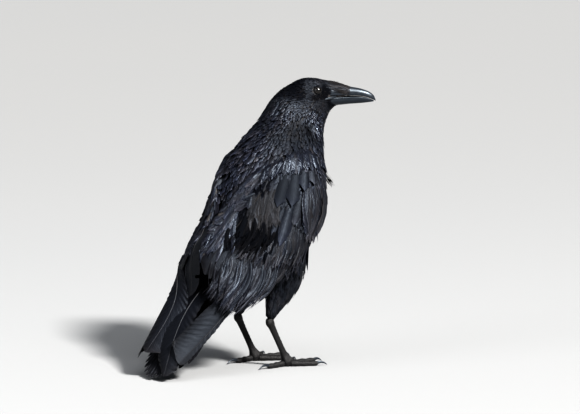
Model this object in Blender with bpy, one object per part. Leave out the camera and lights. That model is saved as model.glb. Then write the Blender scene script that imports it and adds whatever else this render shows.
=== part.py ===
"""A common raven (Corvus corax), life size, standing upright and looking over its right shoulder.

The bird faces +X, its left side is +Y, and it stands on z = 0 on its toes and on the tip of its tail.
Each solid is the feathered outline of one part of the body. Lengths in the tables are millimetres.
"""

import math

import bmesh
import bpy
from mathutils import Matrix, Vector

MM = 0.001
GAP = 0.3 * MM  # clearance between neighbouring solids
HEAD_YAW = -42.0  # degrees, the head turned to the bird's right
EYE_LINE = Vector((71.1, -22.6, 381.8))  # where the head's own frame starts, just above the eyes

EYE_RADIUS = 7.2
EYE_AHEAD = 1.2  # of each eyeball's centre from the eye line
EYE_HEIGHT = -4.4
EYE_OFFSET = 16.8  # and from the middle of the head

TAIL_ROOT = Vector((-50.0, 0.0, 146.0))
TAIL_LENGTH = 218.0
TAIL_PITCH = 41.8  # degrees below the horizontal
TAIL_DROOP = 6.0  # how far its edges hang below its middle feathers

LEG_OFFSET = 33.0  # of each leg from the middle
ANKLE = Vector((-24.0, 0.0, 64.0))
FOOT = Vector((7.0, 0.0, 8.0))  # where the toes meet
CLAW_LENGTH = 17.0
HIND_CLAW_LENGTH = 21.0
CLAW_RADIUS = 2.4

PLUMAGE = ("plumage", (0.018, 0.018, 0.022), 0.45)
FLIGHT = ("flight_feathers", (0.016, 0.017, 0.024), 0.36)
HORN = ("horn", (0.030, 0.032, 0.036), 0.28)
SCALED = ("scaled_skin", (0.022, 0.021, 0.021), 0.5)
EYE = ("eye", (0.012, 0.008, 0.006), 0.06)


# ---------------------------------------------------------------- helpers


def clear_scene():
    for obj in list(bpy.data.objects):
        bpy.data.objects.remove(obj)


def material(spec):
    name, colour, roughness = spec
    found = bpy.data.materials.get(name)
    if found:
        return found
    made = bpy.data.materials.new(name)
    made.use_nodes = True
    shader = made.node_tree.nodes["Principled BSDF"]
    shader.inputs["Base Color"].default_value = (*colour, 1.0)
    shader.inputs["Roughness"].default_value = roughness
    shader.inputs["Metallic"].default_value = 0.0
    return made


def add_object(name, mesh, spec):
    obj = bpy.data.objects.new(name, mesh)
    bpy.context.scene.collection.objects.link(obj)
    mesh.materials.clear()
    mesh.materials.append(material(spec))
    mesh.shade_smooth()
    return obj


def add_cutter(name, mesh):
    obj = bpy.data.objects.new(name, mesh)
    bpy.context.scene.collection.objects.link(obj)
    obj.hide_render = True
    obj.display_type = "WIRE"
    return obj


def mesh_of(bm, name):
    bmesh.ops.recalc_face_normals(bm, faces=bm.faces)
    mesh = bpy.data.meshes.new(name)
    bm.to_mesh(mesh)
    bm.free()
    return mesh


def applied(obj):
    """The object's mesh with its modifiers applied, in world space. The object is removed."""
    bpy.context.view_layer.update()
    graph = bpy.context.evaluated_depsgraph_get()
    mesh = bpy.data.meshes.new_from_object(obj.evaluated_get(graph))
    mesh.transform(obj.matrix_world)
    bpy.data.objects.remove(obj)
    return mesh


def catmull(rows, steps):
    """Rows of numbers, made `steps` times finer along a smooth curve through all of them."""
    fine = []
    last = len(rows) - 1
    for i in range(last):
        before, here = rows[max(i - 1, 0)], rows[i]
        after, beyond = rows[i + 1], rows[min(i + 2, last)]
        for k in range(steps):
            t = k / steps
            fine.append(
                [
                    0.5 * (2 * b + (c - a) * t + (2 * a - 5 * b + 4 * c - d) * t * t + (3 * b - a - 3 * c + d) * t**3)
                    for a, b, c, d in zip(before, here, after, beyond)
                ]
            )
    fine.append(list(rows[last]))
    return fine


def axes(pitch, yaw):
    """Forward, up and left of a section turned by these degrees."""
    p, y = math.radians(pitch), math.radians(yaw)
    forward = Vector((math.cos(p) * math.cos(y), math.cos(p) * math.sin(y), math.sin(p)))
    up = Vector((-math.sin(p) * math.cos(y), -math.sin(p) * math.sin(y), math.cos(p)))
    return forward, up, up.cross(forward)


def oval(centre, up, left, high, low, side, sides):
    """A ring of points with its own height above and below the middle."""
    ring = []
    for k in range(sides):
        a = 2 * math.pi * k / sides
        rise = high if math.cos(a) > 0 else low
        ring.append(centre + up * (rise * math.cos(a)) + left * (side * math.sin(a)))
    return ring


def loft(name, rings, flat=False):
    """A closed mesh through rings of millimetre points.

    Its ends are closed by fans, or when it is flat by a strip between the two faces of the ring.
    """
    bm = bmesh.new()
    loops = [[bm.verts.new(p * MM) for p in ring] for ring in rings]
    count = len(loops[0])
    for a, b in zip(loops, loops[1:]):
        for k in range(count):
            bm.faces.new((a[k], a[(k + 1) % count], b[(k + 1) % count], b[k]))
    for loop in (loops[0], loops[-1]):
        if flat:
            for k in range(count // 2 - 1):
                bm.faces.new((loop[k], loop[k + 1], loop[count - 2 - k], loop[count - 1 - k]))
            continue
        middle = bm.verts.new(sum((v.co for v in loop), Vector()) / count)
        for k in range(count):
            bm.faces.new((loop[k], loop[(k + 1) % count], middle))
    return mesh_of(bm, name)


def section_loft(name, sections, steps, sides):
    """A loft through sections (x, y, z, pitch, yaw, high, low, side)."""
    rings = []
    for x, y, z, pitch, yaw, high, low, side in catmull(sections, steps):
        _, up, left = axes(pitch, yaw)
        rings.append(oval(Vector((x, y, z)), up, left, high, low, side, sides))
    return loft(name, rings)


def difference(obj, cutter):
    cut = obj.modifiers.new("cut", "BOOLEAN")
    cut.operation = "DIFFERENCE"
    cut.solver = "EXACT"
    cut.object = cutter


def inflated(name, mesh, by):
    """A cutter: a copy of a closed mesh, every point moved out along its normal."""
    copy = mesh.copy()
    moved = [v.co + v.normal * by for v in copy.vertices]
    for vertex, co in zip(copy.vertices, moved):
        vertex.co = co
    return add_cutter(name, copy)


def reduced(mesh, name, triangles):
    """The mesh with about this many triangles."""
    obj = add_cutter(name, mesh)
    mesh.calc_loop_triangles()
    thin = obj.modifiers.new("reduce", "DECIMATE")
    thin.ratio = min(1.0, triangles / len(mesh.loop_triangles))
    thin.use_collapse_triangulate = True
    return applied(obj)


def sliced(mesh, name, cuts):
    """The part of a closed mesh behind each plane (point, outward normal), with flat caps."""
    bm = bmesh.new()
    bm.from_mesh(mesh)
    for point, normal in cuts:
        everything = [*bm.verts, *bm.edges, *bm.faces]
        cut = bmesh.ops.bisect_plane(
            bm, geom=everything, dist=1e-7, plane_co=point, plane_no=normal, clear_outer=True
        )
        rim = [e for e in cut["geom_cut"] if isinstance(e, bmesh.types.BMEdge)]
        bmesh.ops.triangle_fill(bm, edges=rim, use_beauty=True, normal=normal)
    bmesh.ops.remove_doubles(bm, verts=bm.verts, dist=2e-6)
    bmesh.ops.triangulate(bm, faces=bm.faces)
    return mesh_of(bm, name)


def head_point(along, height, left=0.0):
    """A place in the head's own frame, from the eye line, as a millimetre point of the bird."""
    forward, up, side = axes(0.0, HEAD_YAW)
    return EYE_LINE + forward * along + up * height + side * left


# ---------------------------------------------------------------- body, neck and head

# x, y, z, pitch, yaw, height above and below the middle, half width
TRUNK_SECTIONS = [
    (-88, 0, 117, 41, 0, 13, 15, 20),  # under the tail coverts
    (-66, 0, 137, 46, 0, 31, 30, 38),  # rump
    (-38, 0, 170, 55, 0, 52, 50, 56),  # belly
    (-12, 0, 210, 62, 0, 67, 62, 67),  # flanks
    (8, 0, 248, 64, 0, 70, 66, 70),  # breast
    (27, 0, 284, 63, 0, 62, 60, 63),  # shoulders
    (42.8, 0, 317, 64, 0, 50, 50, 47),  # base of the neck
    (48, -2, 333.5, 64, -10, 45, 45, 40),
    (53, -6, 348, 63, -22, 41, 41, 36),
    (59.5, -11, 359.8, 61, -34, 37, 37, 31),
    (66, -17, 368.0, 58, -42, 33, 33, 25),  # under the skull
]
# forward of the eye line, height of the middle, height above and below it, half width
HEAD_SECTIONS = [
    (-36, -16, 18, 24, 20),  # back of the skull
    (-28, -14, 22.5, 27, 24),
    (-16, -13, 25.0, 27, 25.5),
    (-4, -12.5, 24.4, 26, 25),
    (6, -12, 22.4, 26, 22.5),
    (13, -11, 18.8, 24, 19),
    (20, -11, 14.6, 20, 15),
    (27, -12, 10.0, 15.5, 11.5),  # chin feathers
]
NECK_CUT = (Vector((42.8, 0, 317)), 62.0, 0.0)
HEAD_CUT = (Vector((56.0, -8.5, 353)), 60.0, -28.0)


def whole_body():
    """Trunk, neck and head as one closed, smooth skin of feathers."""
    trunk = add_cutter("trunk_form", section_loft("trunk_form", TRUNK_SECTIONS, 4, 40))
    rings = []
    _, up, left = axes(0.0, HEAD_YAW)
    for along, height, high, low, side in catmull(HEAD_SECTIONS, 3):
        rings.append(oval(head_point(along, height), up, left, high, low, side, 32))
    head = add_cutter("head_form", loft("head_form", rings))
    join = trunk.modifiers.new("join", "BOOLEAN")
    join.operation = "UNION"
    join.solver = "EXACT"
    join.object = head
    remesh = trunk.modifiers.new("even", "REMESH")
    remesh.mode = "VOXEL"
    remesh.voxel_size = 2.4 * MM
    smooth = trunk.modifiers.new("blend", "SMOOTH")
    smooth.factor = 0.5
    smooth.iterations = 16
    mesh = applied(trunk)
    bpy.data.objects.remove(head)
    return mesh


def build_body():
    """The three solids of the body. It returns the head, and the mesh of the trunk."""
    body = whole_body()
    margin = 12 * MM
    neck_at, neck_way = NECK_CUT[0] * MM, axes(*NECK_CUT[1:])[0]
    head_at, head_way = HEAD_CUT[0] * MM, axes(*HEAD_CUT[1:])[0]
    half = GAP / 2
    rough = sliced(body, "trunk", [(neck_at + neck_way * margin, neck_way)])
    trunk = sliced(reduced(rough, "trunk", 950), "trunk", [(neck_at - neck_way * half, neck_way)])
    add_object("trunk", trunk, PLUMAGE)
    rough = sliced(
        body,
        "neck",
        [(neck_at - neck_way * margin, -neck_way), (head_at + head_way * margin, head_way)],
    )
    neck = sliced(
        reduced(rough, "neck", 330),
        "neck",
        [(neck_at + neck_way * half, -neck_way), (head_at - head_way * half, head_way)],
    )
    add_object("neck", neck, PLUMAGE)
    rough = sliced(body, "head", [(head_at - head_way * margin, -head_way)])
    head = sliced(reduced(rough, "head", 700), "head", [(head_at + head_way * half, -head_way)])
    return add_object("head", head, PLUMAGE), trunk


# ---------------------------------------------------------------- bill and eyes

# forward of the eye line, height of the culmen, of the cutting edge, half width
UPPER_BILL = [
    (10, 3.0, -15.0, 12.5),
    (20, 3.2, -13.6, 11.2),
    (32, 1.6, -12.6, 9.4),
    (46, -0.3, -12.4, 7.6),
    (60, -2.8, -12.9, 5.8),
    (70, -6.3, -14.8, 4.3),
    (76, -9.8, -17.2, 3.0),
    (79.5, -13.6, -18.7, 1.8),
    (81, -17.2, -19.5, 0.9),
]
# forward of the eye line, height of the cutting edge, of the underside, half width
LOWER_BILL = [
    (10, -15.6, -27.0, 11.6),
    (20, -14.2, -26.4, 10.4),
    (32, -13.2, -25.2, 8.6),
    (46, -13.0, -23.6, 6.8),
    (60, -13.5, -22.6, 5.0),
    (69, -15.2, -21.6, 3.2),
    (75, -17.8, -20.6, 1.4),
]
BILL_SIDES = 14


def bill_ring(along, top, bottom, half, arch_up):
    """A D-shaped ring: an arched side and a flatter one along the cutting edge."""
    _, up, left = axes(0.0, HEAD_YAW)
    ring = []
    for k in range(BILL_SIDES):
        a = 2 * math.pi * k / BILL_SIDES
        across, rise = math.sin(a), math.cos(a)
        arch, edge = (top, bottom) if arch_up else (bottom, top)
        towards_arch = rise if arch_up else -rise
        if towards_arch > 0:
            height = edge + (arch - edge) * (0.16 + 0.84 * towards_arch**0.85)
            width = half * math.copysign(abs(across) ** 0.9, across)
        else:
            height = edge + (arch - edge) * 0.16 * (1 + towards_arch) ** 0.8
            width = half * math.copysign(abs(across) ** 0.6, across)
        ring.append(head_point(along, height) + left * width)
    return ring


# forward of the eye line, height of the middle, height above and below it, half width
BRISTLE_SECTIONS = [
    (8, -2, 11.0, 6.0, 13.0),
    (16, -2.5, 10.6, 6.0, 13.6),
    (24, -3, 9.4, 5.6, 13.2),
    (32, -3.5, 7.6, 5.0, 11.8),
    (38, -4, 5.8, 3.6, 10.0),
    (42, -4.6, 4.0, 2.0, 8.0),
]


def build_bill(head):
    """Both halves of the bill, set in the face. It returns the upper half's mesh."""
    made = {}
    for name, rows, arch_up in (("upper_bill", UPPER_BILL, True), ("lower_bill", LOWER_BILL, False)):
        rings = [bill_ring(*row, arch_up) for row in catmull(rows, 2)]
        mesh = loft(name, rings)
        add_object(name, mesh, HORN)
        difference(head, inflated(name + "_socket", mesh, GAP))
        made[name] = mesh
    return made["upper_bill"]


def build_eyes(head):
    for name, side in (("eye_left", 1), ("eye_right", -1)):
        centre = head_point(EYE_AHEAD, EYE_HEIGHT, side * EYE_OFFSET) * MM
        for label, radius in ((name, EYE_RADIUS * MM), (name + "_socket", EYE_RADIUS * MM + GAP)):
            bm = bmesh.new()
            bmesh.ops.create_icosphere(bm, subdivisions=2, radius=radius, matrix=Matrix.Translation(centre))
            mesh = mesh_of(bm, label)
            if label == name:
                add_object(name, mesh, EYE)
            else:
                difference(head, add_cutter(label, mesh))


def build_bristles(head_mesh, bill_mesh):
    """The bristles that lie forward from the forehead over the nostrils."""
    _, up, left = axes(0.0, HEAD_YAW)
    rings = []
    for along, height, high, low, side in BRISTLE_SECTIONS:
        rings.append(oval(head_point(along, height), up, left, high, low, side, 16))
    bristles = add_object("nasal_bristles", loft("nasal_bristles", rings), PLUMAGE)
    difference(bristles, inflated("bristles_off_head", head_mesh, GAP))
    difference(bristles, inflated("bristles_off_bill", bill_mesh, GAP))


# ---------------------------------------------------------------- wings and tail

# Across the folded left wing: its edge over the back, its middle, its edge over the flank, and its
# thickness. The rows run down from the shoulder to where the primaries reach past the rest.
WING_SECTIONS = [
    ((3, 53, 303), (34, 65, 292), (51, 58, 279), 4),
    ((-23, 56, 290), (22, 77, 268), (57, 57, 256), 17),
    ((-64, 29, 263), (-3, 88, 234), (49, 65, 217), 21),
    ((-92, 9, 222), (-36, 85, 194), (18, 74, 178), 19),
    ((-114, 4, 193), (-72, 74, 161), (-20, 70, 144), 14),
    ((-132, 9, 163), (-104, 58, 134), (-72, 56, 112), 9),
]
# the rows after them, to the wing tip: the right wing lies lower against the tail than the left
LEFT_PRIMARIES = [
    ((-150, 6, 99), (-151, 40, 95), (-143, 57, 57), 7),
    ((-205, 18, 34), (-204, 34, 31), (-198, 44, 18), 3),
]
RIGHT_PRIMARIES = [
    ((-153, 18, 99), (-144, 40, 87), (-129, 49, 70), 7),
    ((-203, 24, 40), (-201, 29, 36), (-196, 33, 29), 3),
]
WING_EDGE = 2.0  # thickness of the wing along its edges
WING_COLUMNS = 8

# along the tail as a share of its length, half width, thickness
TAIL_SECTIONS = [
    (0.00, 20, 14),
    (0.20, 30, 12),
    (0.45, 42, 9),
    (0.70, 53, 6),
    (0.84, 57, 4.5),
    (0.93, 50, 3.5),
    (1.00, 20, 2.6),
]
TAIL_COLUMNS = 6


def wing_ring(back, middle, flank, thickness, lengthwise):
    """A closed ring round the folded wing: along its outer face and back along the inner one."""
    control = middle * 2 - (back + flank) / 2
    outer, inner = [], []
    for k in range(WING_COLUMNS + 1):
        t = k / WING_COLUMNS
        point = back * (1 - t) ** 2 + control * (2 * t * (1 - t)) + flank * t * t
        slope = (control - back) * (1 - t) + (flank - control) * t
        inward = slope.cross(lengthwise).normalized()
        swell = 1 - abs(2 * t - 1) ** 2.5
        outer.append(point)
        inner.append(point + inward * (WING_EDGE + (thickness - WING_EDGE) * swell))
    return outer + inner[::-1]


def build_wing(suffix, side, sections, trunk_cutter):
    """A folded wing: the covered part, and the primaries that reach past it."""
    steps = 3
    rows = catmull([[*a, *b, *c, t] for a, b, c, t in sections], steps)
    middles = [Vector(row[3:6]) for row in rows]
    rings = []
    for i, row in enumerate(rows):
        lengthwise = middles[max(i - 1, 0)] - middles[min(i + 1, len(rows) - 1)]
        ring = wing_ring(Vector(row[0:3]), middles[i], Vector(row[6:9]), row[9], lengthwise)
        rings.append([Vector((p.x, side * p.y, p.z)) for p in ring])
    split = steps * (len(WING_SECTIONS) - 1)
    apart = (middles[split + 1] - middles[split]).normalized() * (GAP / MM)
    apart.y *= side
    wing = add_object("wing" + suffix, loft("wing" + suffix, rings[: split + 1], True), FLIGHT)
    difference(wing, trunk_cutter)
    tip = [[p + apart for p in rings[split]], *rings[split + 1 :]]
    add_object("primaries" + suffix, loft("primaries" + suffix, tip, True), FLIGHT)


def build_tail(trunk_cutter, ground):
    """The closed tail, its middle feathers the longest, its tip on the ground."""
    pitch = math.radians(TAIL_PITCH)
    back = Vector((-math.cos(pitch), 0, -math.sin(pitch)))
    up = Vector((-math.sin(pitch), 0, math.cos(pitch)))
    rings = []
    for along, half, thickness in catmull(TAIL_SECTIONS, 2):
        top, under = [], []
        for k in range(TAIL_COLUMNS + 1):
            across = 2 * k / TAIL_COLUMNS - 1
            hang = TAIL_DROOP * across * across * min(1.0, 2 * along)
            place = TAIL_ROOT + back * (TAIL_LENGTH * along) + Vector((0, half * across, 0)) - up * hang
            thick = thickness * (1 - 0.6 * across * across)
            top.append(place + up * (thick / 2))
            under.append(place - up * (thick / 2))
        rings.append(top + under[::-1])
    tail = add_object("tail", loft("tail", rings, True), FLIGHT)
    difference(tail, trunk_cutter)
    difference(tail, ground)


# ---------------------------------------------------------------- legs

# x, z, radius fore and aft, radius across: the feathered part of the leg
THIGH_SECTIONS = [
    (6, 192, 36, 33),
    (2, 155, 35, 30),
    (-1, 125, 31, 26),
    (-9, 102, 21, 18),
    (-18, 84, 11.5, 10.5),
    (-24, 69, 6, 5.6),
]
# share of the way from ankle to foot, radius fore and aft, radius across
TARSUS_SECTIONS = [
    (-0.09, 4.2, 4.0),
    (0.0, 6.4, 5.6),
    (0.14, 5.0, 4.3),
    (0.5, 4.5, 3.8),
    (0.82, 5.0, 4.6),
    (1.0, 8.0, 8.6),
    (1.1, 6.0, 6.6),
]
# name, degrees outwards from straight ahead, length, where it starts across the foot
TOES = [
    ("inner_toe", -30, 34, -4.5),
    ("middle_toe", 0, 48, 0.0),
    ("outer_toe", 30, 37, 4.5),
    ("hind_toe", 180, 31, 0.0),
]
TOE_START = 3.0
# share of the toe's length, radius: thicker at the pads
TOE_SECTIONS = [(0, 3.2), (0.2, 4.2), (0.38, 3.6), (0.52, 4.4), (0.68, 3.5), (0.85, 4.1), (1, 2.8)]
CLAW_BENDS = 5


def tube(name, path, radii, sides):
    """A loft along a path, with a radius in its upright plane and one across it."""
    rings = []
    for i, point in enumerate(path):
        ahead = path[min(i + 1, len(path) - 1)] - path[max(i - 1, 0)]
        across = Vector((0, 0, 1)).cross(ahead).normalized()
        upright = ahead.cross(across).normalized()
        tall, wide = radii[i]
        rings.append(oval(point, upright, across, tall, tall, wide, sides))
    return loft(name, rings)


def build_leg(suffix, side, trunk_cutter, ground):
    rows = catmull(THIGH_SECTIONS, 2)
    path = [Vector((row[0], side * LEG_OFFSET, row[1])) for row in rows]
    mesh = tube("thigh" + suffix, path, [row[2:] for row in rows], 14)
    difference(add_object("thigh" + suffix, mesh, PLUMAGE), trunk_cutter)
    thigh_cutter = inflated("thigh_cutter" + suffix, mesh, GAP)
    across = Vector((0, side * LEG_OFFSET, 0))
    rows = catmull(TARSUS_SECTIONS, 2)
    path = [ANKLE.lerp(FOOT, row[0]) + across for row in rows]
    mesh = tube("tarsus" + suffix, path, [row[1:] for row in rows], 8)
    tarsus = add_object("tarsus" + suffix, mesh, SCALED)
    difference(tarsus, thigh_cutter)
    difference(tarsus, ground)
    tarsus_cutter = inflated("tarsus_cutter" + suffix, mesh, GAP)
    for toe in TOES:
        build_toe(suffix, side, toe, tarsus_cutter, ground)


def build_toe(suffix, side, toe, tarsus_cutter, ground):
    """One toe with its pads flat on the ground, and its claw."""
    name, degrees, length, start = toe
    turn = math.radians(degrees) * side
    ahead = Vector((math.cos(turn), math.sin(turn), 0))
    root = Vector((FOOT.x, side * (LEG_OFFSET + start), 0)) + ahead * TOE_START
    path, radii = [], []
    for share, radius in TOE_SECTIONS:
        height = 3.2 + 1.8 * (1 - share) ** 2
        path.append(root + ahead * (length * share) + Vector((0, 0, height)))
        radii.append((radius, radius * 0.95))
    mesh = tube(name + suffix, path, radii, 8)
    made = add_object(name + suffix, mesh, SCALED)
    difference(made, tarsus_cutter)
    difference(made, ground)
    claw_name = name.replace("toe", "claw") + suffix
    claw_length = HIND_CLAW_LENGTH if name == "hind_toe" else CLAW_LENGTH
    spot = path[-1] - ahead * 2 + Vector((0, 0, 0.2))
    path, radii = [spot], [(CLAW_RADIUS, CLAW_RADIUS * 0.8)]
    for k in range(1, CLAW_BENDS + 1):
        lean = math.radians(28 - 74 * (k - 0.5) / CLAW_BENDS)
        spot = spot + (ahead * math.cos(lean) + Vector((0, 0, math.sin(lean)))) * (claw_length / CLAW_BENDS)
        radius = CLAW_RADIUS * (1 - k / CLAW_BENDS) ** 0.75 + 0.35
        path.append(spot)
        radii.append((radius, radius * 0.8))
    claw = add_object(claw_name, tube(claw_name, path, radii, 6), HORN)
    difference(claw, inflated(claw_name + "_bed", mesh, GAP))


def ground_cutter():
    """A slab under the ground, which leaves what stands on it flat."""
    bm = bmesh.new()
    place = Matrix.Translation(Vector((0, 0, -20 * MM))) @ Matrix.Diagonal((0.8, 0.4, 40 * MM, 1))
    bmesh.ops.create_cube(bm, size=1, matrix=place)
    return add_cutter("ground", mesh_of(bm, "ground"))


def centre_over_origin():
    """Moves everything so that the origin is under the middle of the bird."""
    corners = [v.co for obj in bpy.data.objects if not obj.hide_render for v in obj.data.vertices]
    middle = [(min(c[i] for c in corners) + max(c[i] for c in corners)) / 2 for i in (0, 1)]
    shift = Matrix.Translation(Vector((-middle[0], -middle[1], 0)))
    for obj in bpy.data.objects:
        obj.data.transform(shift)


def main():
    clear_scene()
    head, trunk_mesh = build_body()
    head_mesh = head.data
    bill_mesh = build_bill(head)
    build_eyes(head)
    build_bristles(head_mesh, bill_mesh)
    trunk_cutter = inflated("trunk_cutter", trunk_mesh, GAP)
    ground = ground_cutter()
    build_leg("_left", 1, trunk_cutter, ground)
    build_leg("_right", -1, trunk_cutter, ground)
    build_tail(trunk_cutter, ground)
    build_wing("_left", 1, WING_SECTIONS + LEFT_PRIMARIES, trunk_cutter)
    build_wing("_right", -1, WING_SECTIONS + RIGHT_PRIMARIES, trunk_cutter)
    centre_over_origin()


main()
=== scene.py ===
"""The looks of a common raven: its skin, its coat of feathers, its bill, eyes and feet.

Tables are in millimetres in the bird's own frame: from a point on the ground between its feet,
+X the way its body faces, +Y to its left, +Z up. The head has a frame of its own, forward, up and
left from a point just above the middle of the eyes.
"""

import contextlib
import itertools
import math

import bmesh
import bpy
import numpy as np
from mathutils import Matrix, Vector
from mathutils.bvhtree import BVHTree


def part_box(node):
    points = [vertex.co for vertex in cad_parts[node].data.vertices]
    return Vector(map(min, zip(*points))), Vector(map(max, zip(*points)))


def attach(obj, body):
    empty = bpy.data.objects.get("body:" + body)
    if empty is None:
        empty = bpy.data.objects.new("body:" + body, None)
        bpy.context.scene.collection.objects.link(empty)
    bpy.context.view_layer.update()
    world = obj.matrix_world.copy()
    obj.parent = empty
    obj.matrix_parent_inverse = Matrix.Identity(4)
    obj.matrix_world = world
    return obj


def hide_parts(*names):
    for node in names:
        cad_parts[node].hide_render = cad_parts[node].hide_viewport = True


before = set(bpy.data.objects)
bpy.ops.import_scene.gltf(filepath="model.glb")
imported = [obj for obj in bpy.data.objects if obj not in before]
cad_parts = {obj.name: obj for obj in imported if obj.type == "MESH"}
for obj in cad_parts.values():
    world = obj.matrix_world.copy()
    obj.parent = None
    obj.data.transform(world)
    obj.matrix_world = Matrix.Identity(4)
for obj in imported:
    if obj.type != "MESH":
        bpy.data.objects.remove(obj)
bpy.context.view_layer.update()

MM = 0.001
HEAD_YAW = math.radians(-42)
EYE_LINE = np.array([71.1, -22.6, 381.8])  # where the head's own frame starts
EYE_AHEAD, EYE_HEIGHT, EYE_OFFSET = 1.2, -4.4, 16.8  # of each eyeball's centre from there
FORWARD = np.array([math.cos(HEAD_YAW), math.sin(HEAD_YAW), 0.0])
LEFTWARD = np.array([-math.sin(HEAD_YAW), math.cos(HEAD_YAW), 0.0])
UPWARD = np.array([0.0, 0.0, 1.0])

SIDES = ((1, "_left"), (-1, "_right"))

rng = np.random.default_rng(7)


# ---------------------------------------------------------------- points and directions


def middle_of(node):
    low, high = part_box(node)
    return (np.array(low) + np.array(high)) / 2


# the bird's own origin, in metres in the frame
EYES_MIDDLE = EYE_LINE + FORWARD * EYE_AHEAD + UPWARD * EYE_HEIGHT
ORIGIN = (middle_of("eye_left") + middle_of("eye_right")) / 2 - EYES_MIDDLE * MM


def head_at(along, height, left=0.0):
    """Points of the head's frame, in the bird's."""
    along, height, left = np.broadcast_arrays(along, height, left)
    return (
        EYE_LINE
        + FORWARD * np.asarray(along, float)[..., None]
        + UPWARD * np.asarray(height, float)[..., None]
        + LEFTWARD * np.asarray(left, float)[..., None]
    )


def head_from(points):
    """Points of the bird's frame, in the head's: forward, up, left."""
    apart = points - EYE_LINE
    return np.stack([apart @ FORWARD, apart @ UPWARD, apart @ LEFTWARD], -1)


def unit(v):
    return v / np.maximum(np.linalg.norm(v, axis=-1, keepdims=True), 1e-9)


def smoothstep(low, high, x):
    t = np.clip((x - low) / (high - low), 0, 1)
    return t * t * (3 - 2 * t)


def catmull(rows, t):
    """A smooth curve through rows of numbers, at places t, where row k is at t = k."""
    rows = np.asarray(rows, float)
    last = len(rows) - 1
    t = np.clip(np.asarray(t, float), 0, last)
    k = np.minimum(t.astype(int), last - 1)
    f = (t - k)[..., None]
    a, b = rows[np.maximum(k - 1, 0)], rows[k]
    c, d = rows[k + 1], rows[np.minimum(k + 2, last)]
    return 0.5 * (2 * b + (c - a) * f + (2 * a - 5 * b + 4 * c - d) * f**2 + (3 * b - a - 3 * c + d) * f**3)


def resampled(rows, count):
    """The smooth curve through rows of numbers, at evenly spread places."""
    return catmull(rows, np.linspace(0, len(rows) - 1, count))


def circle(count):
    """Angles evenly round a circle."""
    return 2 * math.pi * np.arange(count) / count


# ---------------------------------------------------------------- meshes


def linked_object(name, data):
    """A new object with this data, in the scene."""
    obj = bpy.data.objects.new(name, data)
    bpy.context.scene.collection.objects.link(obj)
    return obj


def mesh_object(name, points, faces):
    """A smooth mesh object from millimetre points and equal rows of corner numbers."""
    faces = np.asarray(faces, np.int32)
    mesh = bpy.data.meshes.new(name)
    mesh.vertices.add(len(points))
    mesh.vertices.foreach_set("co", (np.asarray(points) * MM + ORIGIN).astype(np.float32).ravel())
    mesh.loops.add(faces.size)
    mesh.loops.foreach_set("vertex_index", faces.ravel())
    mesh.polygons.add(len(faces))
    mesh.polygons.foreach_set("loop_start", np.arange(0, faces.size, faces.shape[1], dtype=np.int32))
    mesh.polygons.foreach_set("use_smooth", np.ones(len(faces), bool))
    mesh.update(calc_edges=True)
    return linked_object(name, mesh)


def set_uv(obj, name, per_corner):
    layer = obj.data.uv_layers.new(name=name)
    layer.data.foreach_set("uv", np.asarray(per_corner, np.float32).ravel())


def set_colour(obj, per_point):
    """Colour for each point, with its roughness as the fourth number."""
    attribute = obj.data.color_attributes.new("Tint", "FLOAT_COLOR", "POINT")
    attribute.data.foreach_set("color", np.asarray(per_point, np.float32).ravel())


def read_rows(items, key, width, kind=np.float32):
    """A property of each of a mesh's items, one row for each."""
    found = np.zeros(len(items) * width, kind)
    items.foreach_get(key, found)
    return found.reshape(-1, width)


def points_of(mesh):
    """A mesh's points, in millimetres in the bird's frame."""
    return (read_rows(mesh.vertices, "co", 3).astype(float) - ORIGIN) / MM


def place_points(mesh, points):
    mesh.vertices.foreach_set("co", (points * MM + ORIGIN).astype(np.float32).ravel())
    mesh.update()


def normals_of(mesh):
    return read_rows(mesh.vertex_normals, "vector", 3).astype(float)


def evened(obj, voxel, smoothing):
    """The object with its mesh remade in even squares of `voxel` millimetres, and smoothed."""
    step = obj.modifiers.new("even", "REMESH")
    step.mode = "VOXEL"
    step.voxel_size = voxel * MM
    blend = obj.modifiers.new("blend", "SMOOTH")
    blend.factor = 0.5
    blend.iterations = smoothing
    bpy.context.view_layer.update()
    graph = bpy.context.evaluated_depsgraph_get()
    mesh = bpy.data.meshes.new_from_object(obj.evaluated_get(graph))
    obj.modifiers.clear()
    obj.data = mesh
    return obj


MERGE = 0.02 * MM  # corners this near are one
SWELL = 0.45 * MM  # closes the thin cuts between nodes


@contextlib.contextmanager
def editing(mesh):
    """The mesh as a bmesh, written back when done."""
    bm = bmesh.new()
    bm.from_mesh(mesh)
    bm.verts.ensure_lookup_table()
    yield bm
    bm.to_mesh(mesh)
    bm.free()


def joined_nodes(name, nodes):
    """One mesh object of several CAD nodes, each swollen a little so that they run together."""
    bm = bmesh.new()
    for node in nodes:
        part = bmesh.new()
        part.from_mesh(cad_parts[node].data)
        bmesh.ops.remove_doubles(part, verts=part.verts, dist=MERGE)
        bmesh.ops.recalc_face_normals(part, faces=part.faces)
        part.normal_update()
        moved = [v.co + v.normal * SWELL for v in part.verts]
        for vertex, co in zip(part.verts, moved):
            vertex.co = co
        mesh = bpy.data.meshes.new("part")
        part.to_mesh(mesh)
        part.free()
        bm.from_mesh(mesh)
        bpy.data.meshes.remove(mesh)
    mesh = bpy.data.meshes.new(name)
    bm.to_mesh(mesh)
    bm.free()
    return linked_object(name, mesh)


# ---------------------------------------------------------------- the form under the coat

FLESH = ["trunk", "neck", "head", "nasal_bristles", "thigh_left", "thigh_right", "wing_left", "wing_right"]
FORM_NODES = FLESH + ["eye_left", "eye_right", "upper_bill", "lower_bill"]


def tree_of(mesh, points):
    """A search tree over the mesh's faces, in millimetres."""
    return BVHTree.FromPolygons([tuple(p) for p in points], [tuple(p.vertices) for p in mesh.polygons])


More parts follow.
